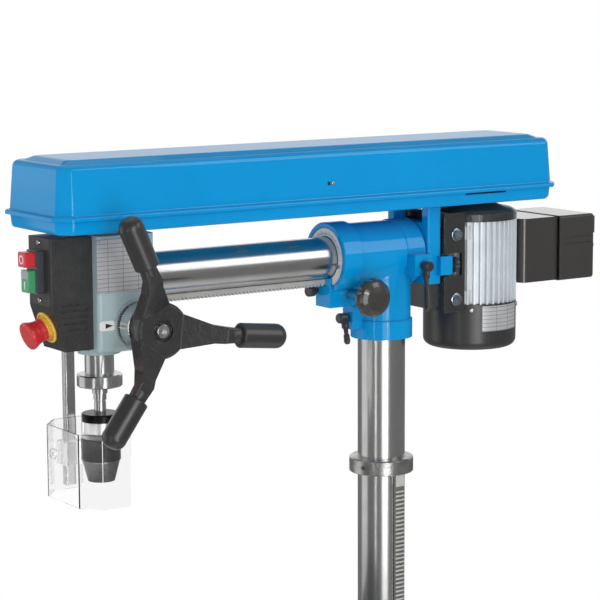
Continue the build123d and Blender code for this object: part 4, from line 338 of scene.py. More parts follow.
# %% Paints
blue_paint = finish(
    "blue_enamel", (0.003, 0.300, 0.670, 1), (0.002, 0.280, 0.635, 1), 0.42, 0.05, coat=0.65,
    coat_rough=0.05, mirror=0.0, grain=260.0, bump=0.05, edge=0.0024, wear=0.20,
    bare=(0.05, 0.42, 0.76, 1), dust=0.06,
)[0]
grey_paint = finish(
    "grey_green_enamel", (0.385, 0.490, 0.510, 1), (0.350, 0.450, 0.470, 1), 0.42, 0.06, coat=0.6,
    mirror=0.2, grain=170.0, bump=0.26, edge=0.0016, wear=0.3, bare=(0.44, 0.50, 0.50, 1), dust=0.08,
)[0]
black_paint = finish(
    "black_enamel", (0.020, 0.020, 0.020, 1), (0.032, 0.031, 0.030, 1), 0.36, 0.10, coat=0.35,
    grain=150.0, pits=0.5, bump=0.75, edge=0.0024, wear=0.8, bare=(0.15, 0.15, 0.15, 1), dust=0.12,
)[0]
print("paints", blue_paint.name, grey_paint.name, black_paint.name)

# %% [markdown]
# ## The dark plastics and the rubber
# The switch cover has a coarse moulded grain, the grips are a smooth dark phenolic with a
# soft sheen, the motor's terminal box and the ram's knob shine, and the switch itself is a
# bluish slate.  Belt rubber is dull and a little fibrous.

# %% Dark plastics and rubber
grained_plastic = finish(
    "grained_black_plastic", (0.016, 0.016, 0.016, 1), (0.031, 0.031, 0.031, 1), 0.50, 0.08,
    scale=70.0, coat=0.15, grain=420.0, pits=0.5, bump=0.75, edge=0.0018, wear=0.5,
    bare=(0.13, 0.13, 0.13, 1), dust=0.10,
)[0]
smooth_plastic = finish(
    "smooth_black_phenolic", (0.022, 0.022, 0.022, 1), (0.030, 0.030, 0.030, 1), 0.34, 0.06, coat=0.35,
    coat_rough=0.24, grain=900.0, bump=0.06, edge=0.0014, wear=0.25, bare=(0.10, 0.10, 0.10, 1), dust=0.08,
)[0]
gloss_plastic = finish(
    "gloss_black_plastic", (0.030, 0.028, 0.024, 1), (0.037, 0.034, 0.030, 1), 0.34, 0.05, coat=1.0,
    grain=300.0, bump=0.10, edge=0.0018, wear=0.3, bare=(0.14, 0.14, 0.13, 1), dust=0.08,
)[0]
slate_plastic = finish(
    "slate_switch_plastic", (0.040, 0.042, 0.055, 1), (0.050, 0.052, 0.066, 1), 0.30, 0.05, coat=0.8,
    grain=900.0, bump=0.05, edge=0.0012, wear=0.3, bare=(0.16, 0.16, 0.18, 1), dust=0.06,
)[0]
belt_rubber = finish(
    "belt_rubber", (0.022, 0.021, 0.020, 1), (0.040, 0.038, 0.036, 1), 0.72, 0.08,
    grain=2200.0, pits=0.4, bump=0.35,
)[0]
print("plastics", grained_plastic.name, smooth_plastic.name)

# %% [markdown]
# ## Buttons and marks
# The buttons come from polished moulds, so they share a fine grain and a slight coat.  Marks
# are thin, and their edges are kept sharp.

# %% Coloured plastics and marks
MOULDED = {"rough_span": 0.05, "grain": 1200.0, "bump": 0.04}
PRINTED = {"rough_span": 0.05, "grain": 1500.0, "bump": 0.04, "edge": 0.0002}
RED, DEEP_RED = (0.640, 0.026, 0.034, 1), (0.560, 0.020, 0.028, 1)
grey_plastic = finish(
    "grey_button_plastic", (0.330, 0.380, 0.360, 1), (0.300, 0.350, 0.330, 1), 0.32,
    coat=0.3, edge=0.0006, **MOULDED,
)[0]
red_plastic = finish("red_button_plastic", RED, DEEP_RED, 0.30, coat=0.3, **MOULDED)[0]
green_plastic = finish(
    "green_button_plastic", (0.055, 0.340, 0.150, 1), (0.045, 0.290, 0.125, 1), 0.30, coat=0.3, **MOULDED
)[0]
yellow_plastic = finish(
    "yellow_collar_plastic", (0.860, 0.560, 0.075, 1), (0.800, 0.500, 0.060, 1), 0.34, coat=0.2, **MOULDED
)[0]
white_mark = finish("white_marking", (0.800, 0.800, 0.790, 1), (0.740, 0.740, 0.730, 1), 0.45, **PRINTED)[0]
dark_mark = finish("dark_marking", (0.012, 0.012, 0.013, 1), (0.020, 0.020, 0.021, 1), 0.5, **PRINTED)[0]
print("buttons", red_plastic.name, green_plastic.name)

# %% [markdown]
# ## A printed sign
# The ring on the stop button is ink, so it belongs in the material.  Seen from the front, a
# point is white when its distance from the sign's middle is within half a stroke of the ring's
# radius.  Ink adds no thickness, which matters here: this button is the foremost piece.

# %% Stop button
SIGN_R, SIGN_HALF_STROKE, SIGN_WHITE = 0.0051, 0.0009, (0.80, 0.80, 0.79, 1)
stop_plastic, tree, shader = finish("red_stop_plastic", RED, DEEP_RED, 0.30, coat=0.3, **MOULDED)
stop_low, stop_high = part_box("stop_button")
spot = split_place(tree)
front = add_node(tree, "ShaderNodeCombineXYZ", {"X": spot["X"], "Z": spot["Z"]})
sign_middle = (0.0, 0.0, (stop_low[2] + stop_high[2]) / 2)
reach = add_node(tree, "ShaderNodeVectorMath", {0: front.outputs[0], 1: sign_middle}, operation="DISTANCE")
ink = calc(tree, "COMPARE", reach.outputs["Value"], SIGN_R, SIGN_HALF_STROKE)
paint_over(tree, shader, ink, SIGN_WHITE)
print("sign", stop_plastic.name)

# %% [markdown]
# ## The metals
# Steel takes its look from how it was worked.  The column and ram are ground, so fine rings
# run round them; the collar is milled and mottled; the motor's bolts are zinc-plated with a
# blue tint, other small pieces plated and bright; the motor's shell is cast aluminium, dull and
# pale; the table and base are cast iron with a machined face.

# %% Metals
def ground(name, lines):
    """Ground or turned steel whose lines run square to the stretched axis."""
    return finish(
        name, (0.60, 0.60, 0.595, 1), (0.52, 0.52, 0.515, 1), 0.22, 0.06, metallic=1.0, scale=16.0,
        bump=0.03, lines=lines, edge=0.0008,
    )[0]


RINGS_Z, RINGS_Y, RINGS_X = (25.0, 25.0, 2600.0), (25.0, 2600.0, 25.0), (2600.0, 25.0, 25.0)
steel_upright = ground("ground_steel_upright", RINGS_Z)
steel_along = ground("ground_steel_along", RINGS_Y)
steel_across = ground("ground_steel_across", RINGS_X)
collar_steel = finish(
    "milled_collar_steel", (0.60, 0.60, 0.59, 1), (0.25, 0.25, 0.245, 1), 0.28, 0.08, metallic=1.0,
    scale=42.0, grain=420.0, pits=0.4, bump=0.22, edge=0.0010,
)[0]
bright_steel = finish(
    "plated_steel", (0.62, 0.62, 0.63, 1), (0.54, 0.54, 0.55, 1), 0.24, 0.06, metallic=1.0,
    scale=60.0, grain=1400.0, bump=0.03, edge=0.0006,
)[0]
zinc_steel = finish(
    "zinc_plated_bolt", (0.58, 0.66, 0.72, 1), (0.20, 0.28, 0.36, 1), 0.20, 0.06, metallic=1.0,
    scale=120.0, grain=260.0, bump=0.45, edge=0.0010,
)[0]
dark_steel = finish(
    "blackened_steel", (0.075, 0.075, 0.080, 1), (0.055, 0.055, 0.060, 1), 0.34, 0.08, metallic=0.9,
    scale=40.0, grain=1200.0, bump=0.06, edge=0.0008, wear=0.35, bare=(0.35, 0.35, 0.36, 1),
)[0]
cast_aluminium = finish(
    "cast_aluminium", (0.78, 0.83, 0.86, 1), (0.70, 0.75, 0.78, 1), 0.44, 0.08, metallic=0.30,
    scale=30.0, grain=800.0, pits=0.3, bump=0.12, edge=0.0006,
)[0]
cast_iron = finish(
    "machined_cast_iron", (0.23, 0.235, 0.235, 1), (0.17, 0.175, 0.175, 1), 0.44, 0.08, metallic=0.7,
    scale=14.0, grain=500.0, pits=0.4, bump=0.12, edge=0.0012, wear=0.2, bare=(0.4, 0.4, 0.4, 1), dust=0.08,
)[0]
print("metals", steel_upright.name, cast_iron.name)

# %% [markdown]
# ## Turned steel with bands
# The drill chuck and the depth ring are turned pieces that change finish along their length:
# the chuck's sleeve is bright at its neck, black where the hand grips and grey on the nose.  A
# place along one axis of the object's own space is the mask that says which band is which.  The
# column's rack uses the same idea across its teeth: bright tips, and painted shade between them
# that stands in for the shadow in the tooth gaps.

# %% Banded steel
OTHER_TONE = 0.85


def banded_steel(name, axis, first, bands, lines, rough=0.30, metallic=1.0):
    """Turned steel whose tone changes below each of the given places along an axis."""
    other = tuple(OTHER_TONE * c for c in first[:3]) + (1,)
    material, tree, shader = finish(
        name, first, other, rough, 0.06, metallic=metallic, scale=40.0, lines=lines, bump=0.04, edge=0.0006
    )
    along = split_place(tree)[axis]
    for place, tone in bands:
        paint_over(tree, shader, calc(tree, "LESS_THAN", along, place), tone)
    return material


DARK_TURNED, PALE_TURNED = (0.018, 0.018, 0.019, 1), (0.60, 0.60, 0.60, 1)
NOSE_TURNED, DIAL_TURNED = (0.17, 0.17, 0.17, 1), (0.66, 0.67, 0.68, 1)
NECK_TOP_Z, GRIP_TOP_Z, NOSE_TOP_Z = at_level(-194.6), at_level(-217.0), at_level(-247.6)
chuck_top = banded_steel("chuck_body_steel", "Z", DARK_TURNED, [(NECK_TOP_Z, PALE_TURNED)], RINGS_Z)
sleeve_bands = [(GRIP_TOP_Z, DARK_TURNED), (NOSE_TOP_Z, NOSE_TURNED)]
chuck_grip = banded_steel("chuck_sleeve_steel", "Z", PALE_TURNED, sleeve_bands, RINGS_Z)
DIAL_BAND_X = 0.0570
dial_steel = banded_steel("depth_dial_steel", "X", DIAL_TURNED, [(DIAL_BAND_X, DARK_TURNED)], RINGS_X, 0.24)
# The dark tone in the rack's tooth gaps is painted shade, standing in for the shadow that falls there.
MILLED, BRIGHT_TIP, GAP_SHADE = (0.66, 0.655, 0.63, 1), (0.95, 0.945, 0.91, 1), (0.300, 0.296, 0.280, 1)
TOOTH_DEPTH = 0.0022
tip_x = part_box("column_rack")[1][0]
shaded_gaps = [(tip_x - TOOTH_DEPTH, GAP_SHADE)]
upright_rack = banded_steel("column_rack_steel", "X", BRIGHT_TIP, shaded_gaps, RINGS_Z, 0.42, 0.6)
level_rack = banded_steel("ram_rack_steel", "Y", MILLED, [], RINGS_Y, 0.42, 0.6)
print("banded", chuck_top.name, chuck_grip.name, dial_steel.name, upright_rack.name, level_rack.name)

# %% [markdown]
# ## The clear guard
# The guard round the chuck is a bent sheet of clear plastic.  A real sheet both bends and
# mirrors light, so the shader's transmission does the work.  Its gloss wanders a little, as a
# handled sheet's does, and that faint haze is what makes it visible before a white wall.

# %% Clear sheet
CLEAR_ROUGH, HAZY_ROUGH = 0.02, 0.07
clear_sheet = bpy.data.materials.new("clear_guard_sheet")
clear_sheet.use_nodes = True
tree = clear_sheet.node_tree
shader = tree.nodes["Principled BSDF"]
shader.inputs["Base Color"].default_value = (0.930, 0.933, 0.930, 1)
shader.inputs["Transmission Weight"].default_value = 1.0
shader.inputs["IOR"].default_value = 1.47
haze = use_group(tree, tone_group, {"Tone": (1, 1, 1, 1), "Other tone": (0, 0, 0, 1), "Scale": 40.0})
haze_gloss = remap(tree, haze["Mask"], to_low=CLEAR_ROUGH, to_high=HAZY_ROUGH)
tree.links.new(haze_gloss, shader.inputs["Roughness"])
print("clear", clear_sheet.name)

# %% [markdown]
# ## Which node wears which finish
# The CAD names say what each piece is, so a table of finishes and names is all it takes.
# Every node has to be in it: a forgotten one would stop the script, and the last line counts them.

# %% Dress the CAD nodes
WEARS = {
    blue_paint: "column_socket table_bracket table_knuckle carriage cover_tray cover_lid rear_bracket",
    grey_paint: "head_casting",
    black_paint: "feed_hub motor_mount motor_end_shield table_clamp_lever column_lock_lever ram_lock_lever",
    grained_plastic: "switch_cover",
    gloss_plastic: "terminal_box terminal_box_lid ram_knob",
    smooth_plastic: "fan_cover spring_cap feed_grips lift_crank tension_knob",
    slate_plastic: "switch_body",
    red_plastic: "estop_button",
    stop_plastic: "stop_button",
    green_plastic: "start_button",
    yellow_plastic: "estop_collar",
    belt_rubber: "drive_belt",
    steel_upright: "column quill spindle motor_rotor",
    steel_along: "ram_tube",
    steel_across: "lift_pinion ram_pinion feed_pinion",
    upright_rack: "column_rack",
    level_rack: "ram_rack",
    collar_steel: "rack_collar",
    zinc_steel: "mount_bolts",
    bright_steel: "chuck_jaw_1 chuck_jaw_2 chuck_jaw_3 guard_post lid_hinge_pins "
    "quill_bearings pulley_bearings",
    dark_steel: "socket_bolts return_spring",
    dial_steel: "depth_ring",
    cast_aluminium: "spindle_pulley motor_pulley motor_housing",
    cast_iron: "base_plate table",
    chuck_top: "chuck_body",
    chuck_grip: "chuck_sleeve",
    clear_sheet: "chuck_guard guard_clamp",
}
dressed = set()
for material, names in WEARS.items():
    for name in names.split():
        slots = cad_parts[name].data.materials
        slots.clear()
        slots.append(material)
        dressed.add(name)
left_over = set(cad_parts) - dressed
assert not left_over, left_over
print("dressed", len(dressed))

# %% [markdown]
# ## Building trim: a lathe in code
# Screws, rivets and knobs are turned pieces.  The lathe below stacks rings of points along an
# axis and joins them with faces.  A ring's radius may also be a function of the angle, which
# is how a cross or a hexagon gets into a screw head without any cutting.

# %% Lathe
def outward_frame(axis):
    """An axis and two directions square to it."""
    axis = Vector(axis).normalized()
    helper = Vector((1, 0, 0)) if abs(axis.z) > 0.9 else Vector((0, 0, 1))
    side = axis.cross(helper).normalized()
    return axis, side, axis.cross(side)


def skin(mesh, loops, ring=False):
    """Join loops of points with faces; the ends are closed, or joined when it is a ring."""
    for low, high in zip(loops, loops[1:] + loops[:1] if ring else loops[1:]):
        for step in range(len(low)):
            ahead = (step + 1) % len(low)
            mesh.faces.new((low[step], low[ahead], high[ahead], high[step]))
    if not ring:
        mesh.faces.new(list(reversed(loops[0])))
        mesh.faces.new(loops[-1])


def turned(mesh, origin, axis, rings, sides=48, ring=False):
    """Add a turned solid to a bmesh: rings of (distance along the axis, radius)."""
    axis, side, other = outward_frame(axis)
    loops = []
    for along, radius in rings:
        loop = []
        for step in range(sides):
            angle = 2 * pi * step / sides
            reach = radius(angle) if callable(radius) else radius
            spot = Vector(origin) + axis * along + (side * cos(angle) + other * sin(angle)) * reach
            loop.append(mesh.verts.new(spot))
        loops.append(loop)
    skin(mesh, loops, ring)


def cross_recess(length, half_width):
    """The radius of a plus-shaped opening at an angle."""
    def radius(angle):
        turn = abs((angle + pi / 4) % (pi / 2) - pi / 4)
        return min(length / cos(turn), half_width / max(sin(turn), 1e-6))
    return radius


def hexagon(flat):
    """The radius of a hexagon with the given distance from its middle to a flat."""
    return lambda angle: flat / cos((angle % (pi / 3)) - pi / 6)


print("lathe ready")

# %% [markdown]
# ## Flat trim, and what makes a mesh a piece
# A plate is three loops with round corners: the lowest is sunk a little into what it lies on,
# and the top one is drawn in for a fine bevel.  A finished mesh gets its material and is told
# which body of the machine it rides on, so that it moves with it.

# %% Plates and pieces
PLATE_SINK = 0.0004
CORNER_STEPS = 4
SMOOTH_ANGLE = radians(35)


def plate(mesh, middle, across, upward, size, thick, corner):
    """A thin plate with round corners and a fine bevel, sunk a little into what it lies on."""
    across, upward = Vector(across).normalized(), Vector(upward).normalized()
    out = across.cross(upward)
    half = (size[0] / 2 - corner, size[1] / 2 - corner)
    loops = []
    for lift, inset in ((-PLATE_SINK, 0.0), (thick * 0.6, 0.0), (thick, thick * 0.5)):
        loop = []
        for quarter, (sx, sy) in enumerate(((1, 1), (-1, 1), (-1, -1), (1, -1))):
            for step in range(CORNER_STEPS + 1):
                angle = (quarter + step / CORNER_STEPS) * pi / 2
                x = sx * half[0] + (corner - inset) * cos(angle)
                y = sy * half[1] + (corner - inset) * sin(angle)
                loop.append(mesh.verts.new(Vector(middle) + across * x + upward * y + out * lift))
        loops.append(loop)
    skin(mesh, loops)


def finish_piece(name, mesh, material, body):
    """Turn a bmesh into a piece that rides on a body."""
    bmesh.ops.recalc_face_normals(mesh, faces=mesh.faces)
    data = bpy.data.meshes.new(name)
    mesh.to_mesh(data)
    mesh.free()
    data.materials.append(material)
    piece = bpy.data.objects.new(name, data)
    bpy.context.collection.objects.link(piece)
    data.shade_smooth()
    data.set_sharp_from_angle(angle=SMOOTH_ANGLE)
    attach(piece, body)


print("plates ready")

# %% [markdown]
# ## Screws and bolts
# Pan-head screws hold the switch box, the lid and the fan cover.  Each head is a low dome with
# a cross sunk in it.  Socket screws have a hexagon instead.  The shank is a short stub that ends
# inside the casting, so the head is never a floating disc.  All sizes follow from the head's radius.

# %% Screw makers
PAN_RINGS = [(-0.9, 0.5), (0, 0.5), (0, 1), (0.3, 0.96), (0.52, 0.8), (0.6, 0.6)]
SOCKET_RINGS = [(-1, 0.55), (0, 0.55), (0, 1), (0.85, 1), (1, 0.86), (1, 0.62)]
RIVET_RINGS = [(-1, 0.6), (0, 0.6), (0, 1), (0.35, 0.88), (0.6, 0.55), (0.68, 0.15)]
RIVET_SIDES = 24


def scaled(rings, radius):
    """A head's rings at its real size."""
    return [(radius * along, radius * reach) for along, reach in rings]


def pan_screw(mesh, origin, axis, radius):
    """A cross-recessed pan head on a short shank."""
    cross = cross_recess(radius * 0.55, radius * 0.16)
    recess = [(radius * 0.6, cross), (radius * 0.2, cross)]
    turned(mesh, origin, axis, scaled(PAN_RINGS, radius) + recess)


def socket_screw(mesh, origin, axis, radius):
    """A cylinder head with a hexagon socket."""
    socket = hexagon(radius * 0.48)
    turned(mesh, origin, axis, scaled(SOCKET_RINGS, radius) + [(radius, socket), (radius * 0.35, socket)])


def dome_rivet(mesh, origin, axis, radius):
    """A small round rivet head."""
    turned(mesh, origin, axis, scaled(RIVET_RINGS, radius), RIVET_SIDES)


print("screws ready")

# %% Screws of the head and the cover
CASE_SCREW_R, LID_SCREW_R, LID_PLUG_R = 0.0036, 0.0030, 0.0026
SWITCH_SCREW_LEVELS = (55.0, -22.0)
TRAY_BOLTS = [(x, y) for x in (-0.018, 0.018) for y in (-0.227, -0.139)]
TRAY_LEVEL = 70.0
LID_SIDE_X, LID_ANGLE = 0.0798, radians(4.5)
LID_LEAN = Vector((cos(LID_ANGLE), 0, sin(LID_ANGLE)))
mesh = bmesh.new()
for level_mm in SWITCH_SCREW_LEVELS:
    pan_screw(mesh, (0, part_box("switch_cover")[0][1], at_level(level_mm)), (0, -1, 0), CASE_SCREW_R)
finish_piece("switch_cover_screws", mesh, bright_steel, "ram")
mesh = bmesh.new()
bolt_hex = hexagon(0.0055)
bolt_rings = [(-0.002, 0.004), (0, 0.004), (0, 0.0075), (0.001, 0.0075)]
bolt_rings += [(0.001, bolt_hex), (0.0045, bolt_hex), (0.005, 0.0045)]
for x, y in TRAY_BOLTS:
    turned(mesh, (x, y, at_level(TRAY_LEVEL)), (0, 0, -1), bolt_rings)
finish_piece("tray_bolts", mesh, bright_steel, "ram")
mesh = bmesh.new()
pan_screw(mesh, (LID_SIDE_X, -0.1423, at_level(116.2)), LID_LEAN, LID_SCREW_R)
finish_piece("lid_screw", mesh, bright_steel, "lid")
mesh = bmesh.new()
dome_rivet(mesh, (LID_SIDE_X, -0.1491, at_level(115.8)), LID_LEAN, LID_PLUG_R)
finish_piece("lid_plug", mesh, dark_mark, "lid")
print("head and cover screws placed")

# %% Screws of the motor and the collar
FAN_COVER_R, FAN_SCREW_LEVEL, FAN_SCREW_START = 0.0699, -90, -36
COLLAR_R, COLLAR_Z, SET_SCREW_ANGLE = 0.0475, 1.1355, radians(-70)
mesh = bmesh.new()
for quarter in range(4):
    angle = radians(FAN_SCREW_START + 90 * quarter)
    way = Vector((cos(angle), sin(angle), 0))
    middle = Vector((0, MOTOR_Y, at_level(FAN_SCREW_LEVEL)))
    pan_screw(mesh, middle + way * FAN_COVER_R, way, CASE_SCREW_R)
finish_piece("fan_cover_screws", mesh, bright_steel, "motor")
mesh = bmesh.new()
way = Vector((cos(SET_SCREW_ANGLE), sin(SET_SCREW_ANGLE), 0))
set_hex = hexagon(0.0014)
set_rings = [(-0.004, 0.003), (0.0003, 0.003), (0.0006, 0.0027), (0.0006, set_hex), (-0.002, set_hex)]
turned(mesh, Vector((0, 0, COLLAR_Z)) + way * COLLAR_R, way, set_rings)
finish_piece("collar_set_screw", mesh, dark_steel, "stand")
print("motor and collar screws placed")

# %% [markdown]
# ## Plates
# The head carries a metal plate with an empty table, the motor a smaller one bent round its fan
# cover.  The table's lines are a brick pattern without its stagger: the mortar is the line.  A plate
# bent round a cylinder is a row of small cross-sections joined by faces.

# %% Plate metal
LINE_GREY = (0.20, 0.20, 0.21, 1)
plate_metal, tree, shader = finish(
    "brushed_plate", (0.62, 0.63, 0.64, 1), (0.55, 0.56, 0.57, 1), 0.36, 0.06, metallic=0.45, scale=50.0,
    lines=(40.0, 40.0, 2200.0), bump=0.02, edge=0.0003,
)
spot = split_place(tree)
flat = add_node(tree, "ShaderNodeCombineXYZ", {"X": spot["Y"], "Y": spot["Z"]})
cell_sizes = {"Scale": 1.0, "Mortar Size": 0.00035, "Brick Width": 0.0230, "Row Height": 0.0058}
table = add_node(tree, "ShaderNodeTexBrick", {"Vector": flat.outputs[0], **cell_sizes}, offset=0.0)
paint_over(tree, shader, table.outputs["Fac"], LINE_GREY)
print("plate metal", plate_metal.name)

# %% Plates on the head and the motor
HEAD_SIDE_X, HEAD_PLATE_SIZE, HEAD_PLATE_THICK = 0.046, (0.069, 0.072), 0.0008
PLATE_RIVETS = [(y, level_mm) for y in (-0.4965, -0.4329) for level_mm in (-11.0, 55.0)]
PLATE_RIVET_R = 0.0016
BENT_START, BENT_SPAN, BENT_STEPS = -23, 59, 16
BENT_IN, BENT_OUT, BENT_LOW, BENT_HIGH = 0.0696, 0.0703, 1.3275, 1.3655
BENT_SECTION = [(BENT_IN, BENT_LOW), (BENT_IN, BENT_HIGH), (BENT_OUT, BENT_HIGH), (BENT_OUT, BENT_LOW)]
SIDEWAYS, UP = (0, 1, 0), (0, 0, 1)
mesh = bmesh.new()
spot = (HEAD_SIDE_X, -0.4647, at_level(22))
plate(mesh, spot, SIDEWAYS, UP, HEAD_PLATE_SIZE, HEAD_PLATE_THICK, 0.002)
finish_piece("head_plate", mesh, plate_metal, "ram")
mesh = bmesh.new()
for y, level_mm in PLATE_RIVETS:
    dome_rivet(mesh, (HEAD_SIDE_X + HEAD_PLATE_THICK, y, at_level(level_mm)), (1, 0, 0), PLATE_RIVET_R)
finish_piece("head_plate_rivets", mesh, bright_steel, "ram")
mesh = bmesh.new()
loops = []
for step in range(BENT_STEPS + 1):
    angle = radians(BENT_START + BENT_SPAN * step / BENT_STEPS)
    way = Vector((cos(angle), sin(angle), 0))
    loops.append([mesh.verts.new(Vector((0, MOTOR_Y, z)) + way * reach) for reach, z in BENT_SECTION])
skin(mesh, loops)
finish_piece("motor_plate", mesh, plate_metal, "motor")
print("plates placed")

# %% [markdown]
# ## Marks
# Dial marks are thin raised strips: the tilt scale round the ram, the fine ring on the feed
# shaft and its pointer.  The start button has a raised bar and a grey flag above it.

# %% Tilt scale round the ram
MARK_THICK, MARK_CORNER = 0.0002, 0.0002
FINE_SIDES = 96
SCALE_FACE_Y, SCALE_THICK, SCALE_MARK_R = -0.0990, 0.0009, 0.0332
SCALE_MARKS, SCALE_DEGREES, SCALE_LONG, SCALE_SHORT = 18, 5, 0.0055, 0.0035
INDEX_SCREW_R = 0.0030
mesh = bmesh.new()
rings = [(-0.0002, 0.0315), (-0.0002, 0.0426), (SCALE_THICK, 0.0424), (SCALE_THICK, 0.0317)]
turned(mesh, (0, SCALE_FACE_Y, RAM_Z), (0, -1, 0), rings, FINE_SIDES, ring=True)
finish_piece("tilt_scale", mesh, white_mark, "swivel")
mesh = bmesh.new()
for step in range(-SCALE_MARKS, SCALE_MARKS + 1):
    angle = radians(SCALE_DEGREES * step)
    way = Vector((sin(angle), 0, cos(angle)))
    across = Vector((way.z, 0, -way.x))
    length = SCALE_LONG if step % 3 == 0 else SCALE_SHORT
    spot = Vector((0, SCALE_FACE_Y - SCALE_THICK, RAM_Z)) + way * (SCALE_MARK_R + length / 2)
    plate(mesh, spot, across, way, (0.0006, length), MARK_THICK, MARK_CORNER)
finish_piece("tilt_scale_marks", mesh, dark_mark, "swivel")
mesh = bmesh.new()
socket_screw(mesh, (0.0345, SCALE_FACE_Y - SCALE_THICK, at_level(-10)), (0, -1, 0), INDEX_SCREW_R)
finish_piece("tilt_index_screw", mesh, bright_steel, "swivel")
print("tilt scale placed")

# %% Depth ring and hub
FEED_Y, FEED_Z, HUB_FACE_X = -0.441, at_level(-59.5), 0.118
DEPTH_R, DEPTH_MARK_X, DEPTH_MARKS = 0.0315, 0.0502, 60
DEPTH_LONG, DEPTH_SHORT = 0.0065, 0.0042
HUB_SCREW_SINK = 0.008
mesh = bmesh.new()
for step in range(DEPTH_MARKS):
    angle = 2 * pi * step / DEPTH_MARKS
    way = Vector((0, cos(angle), sin(angle)))
    across = (0, -sin(angle), cos(angle))
    length = DEPTH_LONG if step % 5 == 0 else DEPTH_SHORT
    spot = Vector((DEPTH_MARK_X + length / 2, FEED_Y, FEED_Z)) + way * DEPTH_R
    plate(mesh, spot, across, (1, 0, 0), (0.0005, length), MARK_THICK, MARK_CORNER)
finish_piece("depth_marks", mesh, white_mark, "depth_stop")
mesh = bmesh.new()
hub_hex = hexagon(0.0045)
hub_rings = [(0, 0.0095), (0.008, 0.0095), (0.009, 0.0085), (0.009, 0.0065)]
hub_rings += [(0.009, hub_hex), (0.003, hub_hex)]
turned(mesh, (HUB_FACE_X - HUB_SCREW_SINK, FEED_Y, FEED_Z), (1, 0, 0), hub_rings)
finish_piece("hub_screw", mesh, bright_steel, "feed")
print("depth ring marked")

# %% Pointer and start button
POINTER_LEVEL, POINTER_SIZE, POINTER_THICK = -57.5, (0.0225, 0.0135), 0.0012
ARROW = [(-0.4885, 3.4), (-0.4885, -3.4), (-0.4770, 0.0)]
BAR_RISE, BAR_SIZE, FLAG_DROP, FLAG_SIZE = 0.0095, (0.0022, 0.0105), 0.0062, (0.0186, 0.0112)
BUTTON_TRIM_THICK = 0.0003
mesh = bmesh.new()
spot = (HEAD_SIDE_X, -0.4858, at_level(POINTER_LEVEL))
plate(mesh, spot, SIDEWAYS, UP, POINTER_SIZE, POINTER_THICK, 0.003)
finish_piece("depth_pointer", mesh, white_mark, "ram")
mesh = bmesh.new()
loops = []
for x in (HEAD_SIDE_X + 0.0010, HEAD_SIDE_X + 0.0015):
    loops.append([mesh.verts.new((x, y, at_level(POINTER_LEVEL + rise))) for y, rise in ARROW])
skin(mesh, loops)
finish_piece("pointer_mark", mesh, dark_mark, "ram")
start_low, start_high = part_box("start_button")
mesh = bmesh.new()
spot = (0, start_low[1], start_low[2] + BAR_RISE)
plate(mesh, spot, (1, 0, 0), UP, BAR_SIZE, BUTTON_TRIM_THICK, 0.0008)
finish_piece("on_sign", mesh, white_mark, "start")
mesh = bmesh.new()
spot = (0, start_low[1], start_high[2] - FLAG_DROP)
plate(mesh, spot, (1, 0, 0), UP, FLAG_SIZE, BUTTON_TRIM_THICK, 0.001)
finish_piece("start_flag", mesh, grey_plastic, "start")
print("pointer and start button marked")

# %% Thumb knob on the pinion block
KNOB_RIBS, KNOB_RIB_DEPTH = 12, 0.04
KNOB_AT = (-0.0146, -0.1040, at_level(-49.0))


def knurl(reach):
    """The radius of a knob with soft ribs."""
    return lambda angle: reach * (1 + KNOB_RIB_DEPTH * cos(KNOB_RIBS * angle))


mesh = bmesh.new()
knob_rings = [(-0.002, 0.0045), (0.006, 0.0045), (0.006, knurl(0.0070)), (0.0075, knurl(0.0080))]
knob_rings += [(0.0165, knurl(0.0080)), (0.0180, knurl(0.0070)), (0.0188, 0.0040)]
turned(mesh, KNOB_AT, (0, -1, 0), knob_rings, FINE_SIDES)
finish_piece("block_thumb_knob", mesh, smooth_plastic, "swivel")
print("thumb knob placed")

# %% [markdown]
# ## The studio
# A pale floor, a soft room and a few lamps.  Near the machine the floor is a plain matt
# surface and keeps the shadow.  Further out it turns to clean white for the camera and for what
# is seen through the clear guard.  Polished steel is a mirror, so it shows whatever stands round
# the machine: for mirror rays the floor is a dim grey and only the backdrop behind the machine is
# white.  That is why the column gets dark stripes between its bright ones.

# %% Floor
FLOOR_SIZE, FADE_START, FADE_END, MIRROR_FLOOR = 60.0, 0.5, 1.9, 0.22


def seen_directly(tree, path):
    """1 for what the camera sees, straight or through the clear guard."""
    return calc(tree, "MAXIMUM", path["Is Camera Ray"], path["Is Transmission Ray"])


floor_mesh = bmesh.new()
bmesh.ops.create_grid(floor_mesh, x_segments=8, y_segments=8, size=FLOOR_SIZE)
floor_data = bpy.data.meshes.new("studio_floor")
floor_mesh.to_mesh(floor_data)
floor_mesh.free()
floor = bpy.data.objects.new("studio_floor", floor_data)
bpy.context.collection.objects.link(floor)
floor_paint = bpy.data.materials.new("studio_floor_paint")
floor_paint.use_nodes = True
floor_data.materials.append(floor_paint)
tree = floor_paint.node_tree
matt = tree.nodes["Principled BSDF"]
matt.inputs["Base Color"].default_value = (0.94, 0.94, 0.94, 1)
matt.inputs["Roughness"].default_value = 0.9
away = add_node(tree, "ShaderNodeVectorMath", {0: own_place(tree)}, operation="LENGTH")
far = remap(tree, away.outputs["Value"], FADE_START, FADE_END, interpolation_type="SMOOTHSTEP")
path = add_node(tree, "ShaderNodeLightPath").outputs
direct = seen_directly(tree, path)
seen = calc(tree, "MAXIMUM", direct, path["Is Glossy Ray"])
plain_part = calc(tree, "MULTIPLY", seen, far)
shine = remap(tree, direct, to_low=MIRROR_FLOOR)
glow = add_node(tree, "ShaderNodeEmission", {"Color": (1, 1, 1, 1), "Strength": shine})
joined = add_node(tree, "ShaderNodeMixShader", {0: plain_part, 1: matt.outputs[0], 2: glow.outputs[0]})
tree.links.new(joined.outputs[0], tree.nodes["Material Output"].inputs["Surface"])
print("studio floor", floor.dimensions[:])

